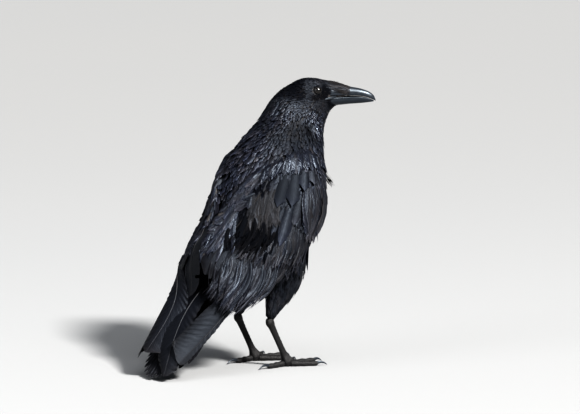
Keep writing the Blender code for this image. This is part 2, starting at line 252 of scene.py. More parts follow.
class Form:
    """Distance in millimetres from a closed surface, less than none inside it, and which way is out,
    held on a grid of `pitch` millimetres that reaches `margin` past the surface."""

    def __init__(self, mesh, pitch=4.0, margin=26.0):
        points = points_of(mesh)
        self.tree = tree_of(mesh, points)
        self.pitch = pitch
        self.low = points.min(0) - margin
        counts = np.ceil((points.max(0) + margin - self.low) / pitch).astype(int) + 1
        self.last = counts - 2
        lines = [self.low[i] + pitch * np.arange(counts[i]) for i in range(3)]
        values = np.empty(counts)
        nearest = self.tree.find_nearest
        for i, x in enumerate(lines[0].tolist()):
            for j, y in enumerate(lines[1].tolist()):
                row = []
                for z in lines[2].tolist():
                    spot, way, _, far = nearest((x, y, z))
                    out = (x - spot[0]) * way[0] + (y - spot[1]) * way[1] + (z - spot[2]) * way[2]
                    row.append(far if out > 0 else -far)
                values[i, j] = row
        slopes = np.gradient(values, pitch)
        self.grid = np.stack([values, *slopes], -1)

    def at(self, points):
        """Distance and outward direction at these points."""
        place = (points - self.low) / self.pitch
        cell = np.clip(np.floor(place).astype(int), 0, self.last)
        share = np.clip(place - cell, 0, 1)
        total = 0.0
        for corner in itertools.product((0, 1), repeat=3):
            weight = 1.0
            for axis, far in enumerate(corner):
                weight = weight * (share[..., axis] if far else 1 - share[..., axis])
            value = self.grid[cell[..., 0] + corner[0], cell[..., 1] + corner[1], cell[..., 2] + corner[2]]
            total = total + weight[..., None] * value
        return total[..., 0], unit(total[..., 1:])


outline = evened(joined_nodes("outline", FORM_NODES), 2.0, 8)
form = Form(outline.data)


# ---------------------------------------------------------------- the lie of the coat

# place, direction of lie, depth of coat, feather length, half width, spacing, tone, brown.
# In the head's frame, for both sides:
HEAD_LIE = [
    ((22, 4, 5), (-1, 0.1, 0.2), 1.0, 4.4, 0.5, 0.95, 0.4, 0.1),
    ((14, 9, 0), (-1, 0.1, 0), 1.2, 4.6, 0.6, 1.05, 1.7, 0.1),
    ((0, 13, 0), (-1, 0, 0), 1.3, 5.2, 0.7, 1.2, 0.9, 0.1),
    ((-12, 13, 0), (-1, -0.1, 0), 1.8, 6.5, 1.0, 1.6, 0.3, 0.0),
    ((-24, 8, 0), (-1, -0.5, 0), 2.4, 9, 1.3, 1.9, 0.0, 0.0),
    ((-36, -8, 0), (-0.7, -1, 0), 3.0, 11, 1.7, 2.4, 0.0, 0.0),
    ((6, 8, 14), (-1, 0.25, 0.1), 1.2, 4.6, 0.6, 1.05, 1.8, 0.15),
    ((-2, 5, 20), (-1, 0.15, 0.1), 1.2, 4.8, 0.65, 1.1, 0.7, 0.1),
    ((15, 0, 14), (-1, -0.1, 0.3), 1.0, 4.2, 0.5, 0.95, 0.0, 0.0),
    ((12, -8, 17), (-1, -0.2, 0.2), 1.0, 4.2, 0.5, 0.95, 0.0, 0.1),
    ((-8, -2, 23), (-1, -0.15, 0), 1.4, 5.2, 0.75, 1.2, 0.6, 0.15),
    ((-8, -9, 24), (-1, -0.4, 0), 1.5, 5.6, 0.8, 1.3, 0.5, 0.1),
    ((2, -13, 22), (-1, -0.45, 0.1), 1.6, 6, 0.85, 1.45, 0.2, 0.1),
    ((-17, -6, 24), (-1, -0.8, 0), 2.0, 8, 1.1, 1.7, 0.2, 0.05),
    ((-24, 0, 18), (-1, -0.7, 0), 2.4, 9, 1.3, 1.9, 0.0, 0.0),
    ((20, -20, 9), (-1, -0.25, 0.1), 1.3, 5, 0.75, 1.35, 0.1, 0.0),
    ((10, -24, 16), (-1, -0.5, 0.1), 1.5, 5.6, 0.8, 1.35, 0.9, 0.25),
    ((4, -22, 20), (-1, -0.5, 0.1), 1.5, 5.6, 0.8, 1.35, 0.6, 0.2),
    ((-2, -26, 19), (-1, -0.7, 0.1), 1.8, 7, 1.0, 1.7, 0.2, 0.05),
    ((8, -34, 0), (-0.6, -0.8, 0), 2.2, 10, 1.2, 2.0, 0.4, 0.0),
    ((30, -24, 3), (-1, -0.3, 0.1), 1.0, 5, 0.7, 1.3, 0.2, 0.0),
    ((-10, -28, 24), (-0.8, -0.9, 0), 2.4, 9, 1.3, 2.0, 1.3, 0.15),
]
# In the bird's frame, each at its own place, round the neck:
NECK_LIE = [
    ((78, -22, 330), (-0.12, 0.05, -1), 3.6, 17, 1.7, 3.0, 1.6, 0.0),
    ((84, -22, 348), (-0.2, 0.05, -1), 3.2, 14, 1.5, 2.6, 2.6, 0.0),
    # painted highlight: the hackles on the right side of the throat, where the light falls, get tones far
    # past GLOSSIEST, which brightens their colour on top of their own gloss; the left side's stay dull
    ((68, -36, 350), (-0.25, 0.05, -1), 3.0, 12, 1.4, 2.4, 4.2, 0.0),
    ((52, -41, 346), (-0.3, 0.05, -1), 3.0, 12, 1.4, 2.5, 4.0, 0.0),
    ((61, -41, 330), (-0.2, 0.1, -1), 3.4, 15, 1.7, 2.9, 3.4, 0.0),
    ((72, -34, 316), (-0.2, 0.1, -1), 3.4, 16, 1.8, 3.1, 2.2, 0.0),
    ((42, -42, 330), (-0.3, 0.05, -0.95), 3.4, 14, 1.9, 2.9, 0.3, 0.05),
    ((20, -37, 333), (-0.5, 0, -0.86), 3.6, 14, 2.0, 2.8, 0.5, 0.25),
    ((4, -34, 318), (-0.5, 0, -0.86), 3.8, 16, 2.8, 3.5, 0.8, 0.1),
    ((4, -18, 345), (-0.55, 0, -0.84), 3.8, 15, 2.4, 3.3, 2.5, 0.05),
    ((12, -26, 352), (-0.55, 0, -0.84), 3.4, 13, 2.0, 2.9, 2.6, 0.1),
    ((0, 10, 342), (-0.6, 0, -0.8), 3.8, 15, 2.4, 3.3, 2.2, 0.0),
    ((22, 36, 335), (-0.5, 0, -0.86), 3.8, 15, 2.3, 3.3, 0.8, 0.05),
    ((50, 38, 335), (-0.3, 0, -0.95), 3.4, 15, 2.0, 3.0, 0.9, 0.0),
    ((76, 18, 335), (-0.15, 0, -1), 3.6, 20, 1.8, 3.4, 1.0, 0.0),
]
# In the bird's frame, for both sides:
BODY_LIE = [
    ((80, 0, 285), (-0.05, 0, -1), 6, 30, 4.2, 6.0, 1.1, 0.0),
    ((66, -40, 292), (-0.15, 0, -1), 5.5, 22, 2.9, 4.6, 1.6, 0.05),
    ((38, -55, 296), (-0.4, -0.05, -0.9), 4.5, 19, 2.8, 4.2, 2.2, 0.05),
    ((12, -60, 294), (-0.5, -0.05, -0.85), 4.5, 19, 3.0, 4.2, 2.5, 0.05),
    # painted shade: a low tone darkens the coat in the band above the shoulder, where shade falls
    ((10, -45, 308), (-0.5, -0.05, -0.85), 4.0, 17, 2.6, 3.8, 0.6, 0.0),
    ((-14, -50, 292), (-0.55, 0.05, -0.83), 4.5, 19, 3.2, 4.4, 0.9, 0.1),
    ((-42, -20, 290), (-0.5, 0, -0.86), 4.6, 20, 3.5, 4.8, 2.6, 0.05),
    ((-20, 0, 318), (-0.55, 0, -0.83), 4.2, 18, 3.0, 4.2, 2.5, 0.05),
    ((-60, 0, 265), (-0.5, 0, -0.86), 5, 22, 3.8, 5.0, 2.6, 0.05),
    ((-76, 0, 232), (-0.48, 0, -0.88), 5.2, 24, 4.2, 5.4, 2.4, 0.05),
    ((-98, -8, 200), (-0.58, 0, -0.82), 5.2, 27, 4.8, 6.0, 2.2, 0.05),
    ((-92, 0, 185), (-0.6, 0, -0.8), 6, 30, 6, 7, 0.9, 0.05),
    ((-96, 0, 150), (-0.72, 0, -0.7), 5, 40, 9, 9, 0.9, 0.05),
    # painted shade: tone 0 makes the coat black along the hollow under the scapulars' edge, where shade
    # falls; the rows are mirrored, so the left side gets it too
    ((-46, -52, 256), (-0.55, 0.05, -0.83), 5, 22, 4.6, 5.6, 0.0, 0.0),
    ((-64, -44, 232), (-0.55, 0.05, -0.83), 5, 26, 5, 6, 0.0, 0.0),
    ((-80, -38, 212), (-0.55, 0.05, -0.83), 5, 28, 5, 6, 0.0, 0.0),
    ((-96, -33, 190), (-0.55, 0.05, -0.83), 5, 28, 5, 6.5, 0.0, 0.0),
    ((-110, -32, 170), (-0.55, 0.05, -0.83), 5, 28, 5, 6.5, 0.0, 0.0),
    ((35, -68, 276), (-0.3, 0.05, -1), 5, 20, 3.6, 4.8, 1.6, 0.1),
    ((2, -72, 276), (-0.55, 0, -0.83), 5, 22, 4.4, 5.2, 1.2, 0.0),
    ((-20, -70, 255), (-0.55, 0, -0.83), 5, 24, 5, 6, 1.0, 0.1),
    ((-20, -88, 215), (-0.55, 0, -0.83), 5, 32, 5.5, 7.5, 1.0, 0.1),
    ((-60, -62, 190), (-0.55, 0, -0.83), 5, 34, 5.5, 7.5, 0.9, 0.2),
    ((-85, -50, 180), (-0.6, 0, -0.8), 5, 34, 5.5, 7.5, 0.6, 0.15),
    ((40, -60, 215), (-0.2, 0, -1), 6, 34, 4.5, 6.8, 1.1, 0.1),
    ((70, 0, 235), (-0.3, 0, -0.95), 7, 34, 5.5, 7.5, 1.0, 0.0),
    ((35, 0, 180), (-0.6, 0, -0.8), 7, 36, 6, 8, 0.8, 0.05),
    ((-10, 0, 135), (-0.85, 0, -0.5), 7, 36, 6, 8, 0.8, 0.05),
    ((-60, 0, 108), (-0.85, 0, -0.5), 6, 40, 7, 8, 0.8, 0.05),
    ((10, -62, 170), (-0.35, 0, -0.94), 6, 38, 5, 7.0, 0.9, 0.1),
    ((28, -33, 150), (-0.25, 0, -0.97), 6, 34, 4.5, 6.6, 0.9, 0.1),
    ((-20, -33, 120), (-0.2, 0, -0.98), 5, 28, 4.0, 5.6, 0.8, 0.1),
    ((-23, -33, 78), (-0.05, 0, -1), 1.6, 12, 1.8, 2.6, 0.6, 0.1),
]


def lie_table():
    """One row for each place: the place, the direction and the coat there."""
    rows = []
    for place, way, *coat in HEAD_LIE:
        for side in (1, -1):
            spot = head_at(place[0], place[1], place[2] * side)
            turned = FORWARD * way[0] + UPWARD * way[1] + LEFTWARD * (way[2] * side)
            rows.append([*spot, *unit(turned), *coat])
    for place, way, *coat in NECK_LIE:
        rows.append([*place, *unit(np.array(way)), *coat])
    for place, way, *coat in BODY_LIE:
        for side in (1, -1):
            across = np.array([1, side, 1])
            rows.append([*(place * across), *unit(way * across), *coat])
    return np.array(rows, float)


LIE = lie_table()
LIE_BATCH = 20000  # points looked up at once
LIE_BLEND = 30.0  # square millimetres: how softly one place's coat passes into the next


def lie_at(points):
    """Direction of lie, depth, length, half width, spacing, tone and brown at these points."""
    flat = points.reshape(-1, 3)
    found = np.empty((len(flat), LIE.shape[1] - 3))
    for start in range(0, len(flat), LIE_BATCH):
        part = flat[start : start + LIE_BATCH]
        apart = ((part[:, None, :] - LIE[None, :, :3]) ** 2).sum(2)
        weight = 1.0 / (apart + LIE_BLEND) ** 2
        weight /= weight.sum(1, keepdims=True)
        found[start : start + LIE_BATCH] = weight @ LIE[:, 3:]
    found[:, :3] = unit(found[:, :3])
    return found.reshape(*points.shape[:-1], -1)


# the columns of what lie_at finds
DEPTH, LENGTH, WIDTH, SPACING, TONE, BROWN = range(3, 9)


# ---------------------------------------------------------------- skin

SKIN_END = 40.0  # forward of the eye line, inside the bill
FACE_FROM, FACE_DEPTH = 24.0, 1.6  # the coat is no deeper than this, forward of there
SINKING_STEPS = 5


def build_skin():
    """The skin: the outline, sunk by the depth of the coat, and closed inside the bill."""
    skin = joined_nodes("skin", FORM_NODES)
    evened(skin, 2.5, 4)
    with editing(skin.data) as bm:
        plane = head_at(SKIN_END, 0) * MM + ORIGIN
        everything = [*bm.verts, *bm.edges, *bm.faces]
        bmesh.ops.bisect_plane(bm, geom=everything, plane_co=plane, plane_no=FORWARD, clear_outer=True)
        bmesh.ops.holes_fill(bm, edges=[e for e in bm.edges if e.is_boundary])
    points = points_of(skin.data)
    depth = lie_at(points)[:, DEPTH]
    along = head_from(points)[:, 0]
    depth = np.where(along > FACE_FROM, np.minimum(depth, FACE_DEPTH), depth)
    for _ in range(SINKING_STEPS):
        points = points_of(skin.data)
        place_points(skin.data, points - normals_of(skin.data) * (depth / SINKING_STEPS)[:, None])
        place_points(skin.data, smoothed_points(skin.data, 0.35))
    evened(skin, 2.5, 3)
    return largest_part(skin)


def smoothed_points(mesh, share):
    """Points moved part of the way to the mean of their neighbours."""
    points = points_of(mesh)
    a, b = read_rows(mesh.edges, "vertices", 2, np.int32).T
    total = np.zeros_like(points)
    count = np.zeros(len(points))
    for here, other in ((a, b), (b, a)):
        np.add.at(total, here, points[other])
        np.add.at(count, here, 1)
    mean = total / np.maximum(count, 1)[:, None]
    return points * (1 - share) + mean * share


def largest_part(obj):
    """The object with only its largest connected part."""
    with editing(obj.data) as bm:
        seen = set()
        best = []
        for start in bm.verts:
            if start in seen:
                continue
            part, front = [start], [start]
            seen.add(start)
            while front:
                for edge in front.pop().link_edges:
                    for other in edge.verts:
                        if other not in seen:
                            seen.add(other)
                            part.append(other)
                            front.append(other)
            if len(part) > len(best):
                best = part
        keep = set(best)
        bmesh.ops.delete(bm, geom=[v for v in bm.verts if v not in keep], context="VERTS")
    return obj


def unwrap(obj, name):
    """A UV map of the object's own shape."""
    obj.data.uv_layers.new(name=name)
    for other in bpy.context.selected_objects:
        other.select_set(False)
    obj.select_set(True)
    bpy.context.view_layer.objects.active = obj
    bpy.ops.object.mode_set(mode="EDIT")
    bpy.ops.mesh.select_all(action="SELECT")
    bpy.ops.uv.smart_project(angle_limit=math.radians(66), island_margin=0.002)
    bpy.ops.object.mode_set(mode="OBJECT")
    obj.select_set(False)


class SkinMap:
    """Where a place lies on the unwrapped skin."""

    def __init__(self, obj):
        mesh = obj.data
        self.tree = tree_of(mesh, points_of(mesh))
        uv = read_rows(mesh.uv_layers["OFBake"].data, "uv", 2)
        spans = [slice(p.loop_start, p.loop_start + p.loop_total) for p in mesh.polygons]
        self.middles = np.array([uv[span].mean(0) for span in spans])

    def at(self, points):
        faces = [self.tree.find_nearest(tuple(p))[2] for p in points.tolist()]
        return self.middles[faces]


skin = build_skin()
unwrap(skin, "OFBake")
skin_map = SkinMap(skin)


# ---------------------------------------------------------------- feathers

BLACK = np.array([0.0034, 0.0038, 0.0058])
WORN = np.array([0.021, 0.0175, 0.0150])
EYE_RADIUS = 7.2
EYE_OPENING = 5.2
EYE_TURN = 0.22  # how much each eye looks forward, and up
LID_RANGE = 14  # how far out from an eye's centre points are kept clear of its opening
FLOOR_CLEARANCE = 0.4  # how near the floor a feather comes
BAKE_PATCH = 0.003  # how wide each feather lies on the OFBake map
VANE_UNIT = 10  # millimetres for one of the Vane map
TRIANGLE_LIMIT = 190000  # of one piece
GLOSSIEST = 1.9  # the tone past which feathers hardly get glossier
VELVET_TONE = 0.45  # feathers duller than this are like velvet
LEVEL_STEP = 1.3  # how much larger the cells of the next level are

# along a feather: where it is how wide
SCALE = [(0, 0.35), (0.25, 0.85), (0.6, 1.0), (0.82, 0.88), (0.93, 0.62), (1, 0.28)]
COVERT = [(0, 0.3), (0.2, 0.8), (0.5, 1.0), (0.8, 0.96), (0.92, 0.76), (0.98, 0.45), (1, 0.22)]
LANCE = [(0, 0.4), (0.3, 0.9), (0.6, 1.0), (0.85, 0.62), (1, 0.12)]
HAIR = [(0, 0.7), (0.5, 1.0), (1, 0.2)]
LOCK = [(0, 0.3), (0.3, 0.8), (0.6, 1.0), (0.85, 0.7), (1, 0.15)]
PLUME = [(0, 0.25), (0.3, 0.8), (0.65, 1.0), (0.88, 0.8), (1, 0.4)]
BLUNT = [
    (0, 0.15), (0.1, 0.3), (0.25, 0.75), (0.45, 1.0), (0.85, 0.98), (0.95, 0.9), (0.985, 0.74), (1, 0.55),
]
QUILL = [(0, 0.25), (0.08, 0.6), (0.2, 0.9), (0.5, 1.0), (0.8, 0.96), (0.92, 0.76), (0.98, 0.42), (1, 0.2)]


def tints(tone, brown):
    """Feather colours, black, or brown where worn, each with its roughness as the fourth number."""
    tone, brown = np.broadcast_arrays(tone, brown)
    # tone scales the colour as well as the gloss, and past GLOSSIEST it only brightens the colour. Low tones
    # given in a few places are painted shade, and the high tones of the hackles on the lit side of the throat
    # a painted highlight
    colour = (BLACK * (1 - brown[..., None]) + WORN * brown[..., None]) * (0.4 + 0.6 * tone[..., None])
    sheen = np.minimum(tone, GLOSSIEST)
    rough = np.clip(0.95 - 0.62 * sheen + 0.16 * sheen**2 - 0.09 * (tone - sheen) + 0.12 * brown, 0.22, 0.95)
    return np.concatenate([colour, rough[..., None]], -1)


def eye_axis(side):
    return unit(FORWARD * EYE_TURN + UPWARD * EYE_TURN + LEFTWARD * side)


def eye_centre(side):
    return head_at(EYE_AHEAD, EYE_HEIGHT, side * EYE_OFFSET)


def clear_of_eyes(points):
    """The points, those over an eye moved to its lid."""
    for side in (1, -1):
        axis = eye_axis(side)
        apart = points - eye_centre(side)
        deep = apart @ axis
        across = apart - deep[..., None] * axis
        reach = np.linalg.norm(across, axis=-1)
        near = (deep > 0) & (deep < LID_RANGE) & (reach < EYE_OPENING)
        push = np.where(near, EYE_OPENING - reach, 0.0)
        points = points + unit(across) * push[..., None]
    return points


def split_pieces(count, per_feather):
    """Slices of the feathers, each under the limit of triangles."""
    size = max(1, TRIANGLE_LIMIT // per_feather)
    return [slice(start, min(start + size, count)) for start in range(0, count, size)]


def feather_object(name, grid, uv_vane, tint, bake, drop=None):
    """A piece of many feathers, each a grid of points (feather, row, column)."""
    count, rows, cols = grid.shape[:3]
    grid[..., 2] = np.maximum(grid[..., 2], FLOOR_CLEARANCE)
    corner = np.arange(count * rows * cols).reshape(count, rows, cols)
    quads = np.stack([corner[:, :-1, :-1], corner[:, 1:, :-1], corner[:, 1:, 1:], corner[:, :-1, 1:]], -1)
    if drop is not None:
        quads = quads[~drop]
    quads = quads.reshape(-1, 4)
    obj = mesh_object(name, grid.reshape(-1, 3), quads)
    loops = quads.ravel()
    set_uv(obj, "Vane", uv_vane.reshape(-1, 2)[loops])
    across = np.linspace(-BAKE_PATCH / 2, BAKE_PATCH / 2, cols)
    along = np.linspace(-BAKE_PATCH / 2, BAKE_PATCH / 2, rows)
    patch = np.stack(np.broadcast_arrays(across[None, :], along[:, None]), -1)
    spots = bake[:, None, None, :] + patch[None]
    set_uv(obj, "OFBake", spots.reshape(-1, 2)[loops])
    set_colour(obj, tint.reshape(-1, 4))
    return obj


def straight_paths(spot, ahead, up, length, heights, curl, s):
    """Middle lines of feathers that run straight on, a little bowed, and nowhere under their heights."""
    left = unit(np.cross(up, ahead))
    bow = np.sin(math.pi * s)[None, :] * (curl * length * 0.2)[:, None]
    run = ahead[:, None] * (length[:, None] * s)[..., None]
    middle = spot[:, None] + run + left[:, None] * bow[..., None]
    far, up = form.at(middle)
    middle = middle + up * np.maximum(heights - far, 0)[..., None]
    forth = unit(np.gradient(middle, axis=1))
    return middle, unit(np.cross(up, forth)), forth


def lying_paths(spot, ahead, length, heights, curl, follow):
    """Middle lines of feathers that keep their heights over the form and turn with the coat's lie."""
    rows = heights.shape[1] - 1
    middle, side, forth = [], [], []
    for k in range(rows + 1):
        _, up = form.at(spot)
        if follow:
            ahead = ahead * (1 - follow) + lie_at(spot)[:, :3] * follow
        ahead = unit(ahead - up * (ahead * up).sum(1, keepdims=True))
        left = np.cross(up, ahead)
        turn = (curl / rows)[:, None]
        ahead = ahead * np.cos(turn) + left * np.sin(turn)
        middle.append(spot)
        side.append(left)
        forth.append(ahead)
        spot = clear_of_eyes(spot + ahead * (length / rows)[:, None])
        far, up = form.at(spot)
        spot = spot + up * (heights[:, min(k + 1, rows)] - far)[:, None]
    return [np.stack(v, 1) for v in (middle, side, forth)]


def vanes(
    name, root, way, length, width, depth, lift, tint, rows=7, cols=6, shape=SCALE, follow=0.15, curl=0.0,
    ragged=0.1, camber=0.1, lean=0.35, rise=0.8, roll=0.0, streak=0.1, fray=0.8, tuck=0.0, straight=False,
    edge=1.0,
):
    """Feathers that grow from the skin at `root`, lie along the coat and end `lift` above it. Those
    that are `straight` leave the coat wherever it falls away, and hang free. `camber` rounds them,
    `ragged` and `streak` roughen them, `fray` is where their barbs part, `edge` how pale their rims and
    tips are: a painted highlight along the edges, and in part worn, paler barb tips."""
    count = len(root)
    given = (length, width, depth, lift, curl, roll)
    length, width, depth, lift, curl, roll = (np.broadcast_to(v, count) for v in given)
    s = np.linspace(0, 1, rows + 1)
    heights = -depth[:, None] + (depth + lift)[:, None] * s**rise - tuck * smoothstep(0.75, 1.0, s)
    _, up = form.at(root)
    spot = root - up * depth[:, None]
    if straight:
        middle, side, forth = straight_paths(spot, unit(way), up, length, heights, curl, s)
    else:
        middle, side, forth = lying_paths(spot, unit(way), length, heights, curl, follow)
    x = np.linspace(-1, 1, cols + 1)
    half = width[:, None] * np.interp(s, *zip(*shape))
    half = (half * (1 + 0.08 * rng.standard_normal((count, rows + 1))))[:, :, None]
    tooth = rng.uniform(-1, 0.4, (count, 1, cols + 1)) * ragged
    forward = (
        lean * np.abs(x) * half * (1 - s[:, None] ** 2)
        - 0.7 * x**2 * width[:, None, None] * s[:, None] ** 5
        + tooth * length[:, None, None] * s[:, None] ** 2
    )
    sideways = side[:, :, None] * (x * half)[..., None]
    grid = clear_of_eyes(middle[:, :, None] + sideways + forth[:, :, None] * forward[..., None])
    comb = rng.uniform(-1, 1, (count, 1, cols + 1)) * streak
    bend = -camber * x**2 * half + roll[:, None, None] * x * half + comb * s[:, None]
    far, up = form.at(grid)
    rest = heights[:, :, None] - far
    grid = grid + up * (bend + (np.maximum(rest, 0) if straight else rest))[..., None]
    barb = (s[:, None] * length[:, None, None] - np.abs(x) * half) / VANE_UNIT
    uv = np.stack([x * half / VANE_UNIT, np.broadcast_to(barb, grid.shape[:3])], -1)
    uv = uv + rng.uniform(0, 40, (count, 1, 1, 2)) * np.array([0, 1])
    colour = np.repeat(np.repeat(tint[:, None, None, :], rows + 1, 1), cols + 1, 2)
    # painted highlight: rims and tips are made paler, standing in part for light caught along the edges and
    # in part for worn, paler barb tips
    rim = np.clip(np.abs(x) ** 3 * s[:, None] ** 2 + s[:, None] ** 8, 0, 1)
    colour[..., :3] *= 1 + edge * rim[None, :, :, None]
    parted = parted_barbs(count, rows, cols, fray)
    bake = skin_map.at(root)
    made = []
    slices = split_pieces(count, rows * cols * 2)
    for number, part in enumerate(slices):
        label = name if len(slices) == 1 else f"{name}_{number + 1}"
        made.append(feather_object(label, grid[part], uv[part], colour[part], bake[part], parted[part]))
    return made


def parted_barbs(count, rows, cols, fray):
    """Quads left out between barbs: each gap opens somewhere past `fray` and runs to the tip."""
    opens = fray + (1.15 - fray) * rng.random((count, 1, cols))
    opens[:, :, ::2] = 2.0
    share = (np.arange(rows) + 0.5) / rows
    return share[None, :, None] > opens


# ---------------------------------------------------------------- where feathers grow


def triangles_of(mesh):
    mesh.calc_loop_triangles()
    return points_of(mesh)[read_rows(mesh.loop_triangles, "vertices", 3, np.int32)]


def apart_squared(a, b):
    return (a[0] - b[0]) ** 2 + (a[1] - b[1]) ** 2 + (a[2] - b[2]) ** 2


def spaced(points, spacing):
    """Which of the points to keep so that none are nearer than the spacing there."""
    level = np.round(np.log(spacing) / math.log(LEVEL_STEP)).astype(int)
    grids = {}
    kept = []
    step = list(itertools.product((-1, 0, 1), repeat=3))
    places = points.tolist()
    for index, (place, near, own) in enumerate(zip(places, spacing.tolist(), level.tolist())):
        cell = LEVEL_STEP ** (own + 1)
        at = (int(place[0] // cell), int(place[1] // cell), int(place[2] // cell))
        grid = grids.setdefault(own, {})
        limit = near * near
        free = True
        for i, j, k in step:
            for other in grid.get((at[0] + i, at[1] + j, at[2] + k), ()):
                if apart_squared(place, other) < limit:
                    free = False
                    break
            if not free:
                break
        if not free:
            continue
        kept.append(index)
        for around in (own - 1, own, own + 1):
            size = LEVEL_STEP ** (around + 1)
            key = (int(place[0] // size), int(place[1] // size), int(place[2] // size))
            grids.setdefault(around, {}).setdefault(key, []).append(place)
    return np.array(kept)


def scattered(triangles, spacing_of, tries=5):
    """Points spread over triangles with the spacing that spacing_of gives at a point."""
    a, b, c = triangles[:, 0], triangles[:, 1], triangles[:, 2]
    area = np.linalg.norm(np.cross(b - a, c - a), axis=1) / 2
    weight = area / spacing_of((a + b + c) / 3) ** 2
    pick = rng.choice(len(weight), int(weight.sum() * tries), p=weight / weight.sum())
    u, v = rng.random((2, len(pick)))
    flip = u + v > 1
    u, v = np.where(flip, 1 - u, u)[:, None], np.where(flip, 1 - v, v)[:, None]
    points = a[pick] + (b - a)[pick] * u + (c - a)[pick] * v
    return points[spaced(points, spacing_of(points))]


def in_the_open(points, reach=26.0):
    """Which points of the outline have nothing close in front of them."""
    _, up = form.at(points)
    clear = []
    for point, way in zip(points, up):
        start = Vector(point + way * 1.5)
        clear.append(form.tree.ray_cast(start, Vector(way), reach)[0] is None)
    return np.array(clear)


def off_the_eyes(points, reach):
    free = np.ones(len(points), bool)
    for side in (1, -1):
        apart = points - eye_centre(side)
        deep = apart @ eye_axis(side)
        across = np.linalg.norm(apart - deep[:, None] * eye_axis(side), axis=1)
        free &= (across > reach) | (deep < 0)
    return free


def on_bill(points):
    """Which points lie where the bill is bare: past its base, on its sides, and above the chin's edge."""
    along, high, left = head_from(points).T
    chin_edge = -18.6 - 0.26 * (along - 24)
    bare = along > 45
    bare |= (along > 24) & (high > -9)
    bare |= (along > 17.5) & (high > -17) & (high <= -9)
    bare |= (along > 22) & (high > chin_edge)
    return bare & (high > -40) & (np.abs(left) < 20)


surface = triangles_of(outline.data)
roots = scattered(surface, lambda p: lie_at(p)[:, SPACING])
roots = roots[~on_bill(roots) & off_the_eyes(roots, 6.0)]
roots = roots[in_the_open(roots)]
coat = lie_at(roots)


def varied(values, share):
    return values * (1 + share * rng.standard_normal(len(values)))


def coat_vanes(name, chosen, **style):
    """The common coat at the chosen roots: the dull feathers and the glossy ones in pieces of their own."""
    dull = coat[:, TONE] < VELVET_TONE
    made = coat_piece(name + "_velvet", chosen & dull, **style)
    return made + coat_piece(name, chosen & ~dull, **style)


def coat_piece(name, chosen, **style):
    part, lie = roots[chosen], coat[chosen]
    way = unit(lie[:, :3] + rng.standard_normal((len(part), 3)) * 0.1)
    shade = tints(varied(lie[:, TONE], 0.2), np.clip(lie[:, BROWN] + rng.normal(0, 0.08, len(part)), 0, 1))
    style = {"lift": 0.35, "rise": 0.55, **style}
    # glossy feathers stand off the coat a little more, and catch the light
    stand = 1 + 2.0 * np.clip(lie[:, TONE] - 1.4, 0, 1.6)
    lift = np.abs(varied(stand * style.pop("lift"), 0.5))
    return vanes(
        name, part, way, varied(lie[:, LENGTH], 0.12), varied(lie[:, WIDTH], 0.12), lie[:, DEPTH] * 0.9, lift,
        shade, curl=rng.normal(0, 0.15, len(part)), roll=rng.normal(0, 0.16, len(part)), **style,
    )


spacing = coat[:, SPACING]
pieces = []
pieces += coat_vanes(
    "head_feathers", spacing < 2.3, rows=4, cols=2, shape=LANCE, lift=0.2, ragged=0.12, streak=0.03,
    camber=0.3, edge=1.5,
)
pieces += coat_vanes(
    "neck_feathers", (spacing >= 2.3) & (spacing < 3.65), rows=7, cols=4, shape=LANCE, lift=0.4, ragged=0.1,
    fray=0.7, camber=0.35, streak=0.08, tuck=0.3,
)
pieces += coat_vanes(
    "back_feathers", (spacing >= 3.65) & (spacing < 5.8), rows=9, cols=8, shape=SCALE, lift=0.7, ragged=0.08,
    camber=0.34, streak=0.12, fray=0.72, tuck=0.5, edge=4.0,
)
pieces += coat_vanes(
    "body_feathers", spacing >= 5.8, rows=10, cols=9, shape=PLUME, lift=0.7, ragged=0.14, camber=0.28,
    streak=0.25, fray=0.5, tuck=0.3,
)


def bristles():
    """Stiff feathers that lie forward from the forehead over the base of the bill."""
    spots = scattered(surface_between(7, 34), lambda p: np.full(len(p), 1.0), 6)
    place = head_from(spots)
    band = (place[:, 1] > -9.5) & (np.abs(place[:, 2]) < 15.5) & off_the_eyes(spots, 7.5)
    spots, place = spots[band], place[band]
    count = len(spots)
    inward = LEFTWARD * (-0.12 * np.sign(place[:, 2:3]))
    way = unit(FORWARD + UPWARD * -0.16 + inward + rng.normal(0, 0.06, (count, 3)))
    long = np.clip(48 - place[:, 0], 4, 21) * rng.uniform(0.7, 1.05, count)
    shade = tints(rng.uniform(0.2, 1.8, count), rng.uniform(0.1, 0.9, count))
    return vanes(
        "nasal_bristle_feathers", spots, way, long, rng.uniform(0.35, 0.7, count), 1.2,
        rng.uniform(0.1, 1.3, count), shade, rows=5, cols=2, shape=HAIR, follow=0, ragged=0.05, streak=0.0,
    )


def surface_between(low, high):
    """Triangles of the outline between two distances forward of the eyes, on the head."""
    along, up, left = head_from(surface.mean(1)).T
    return surface[(along > low) & (along < high) & (up > -40) & (np.abs(left) < 30)]


pieces += bristles()


def onto_form(points):
    far, up = form.at(points)
    return points - up * far[:, None]


STRAY = 1.6  # how many times its spread a feather of a tract may stray
SLACK = 1.03  # a feather's length for the way from its root to its tip, as it lies along a curve


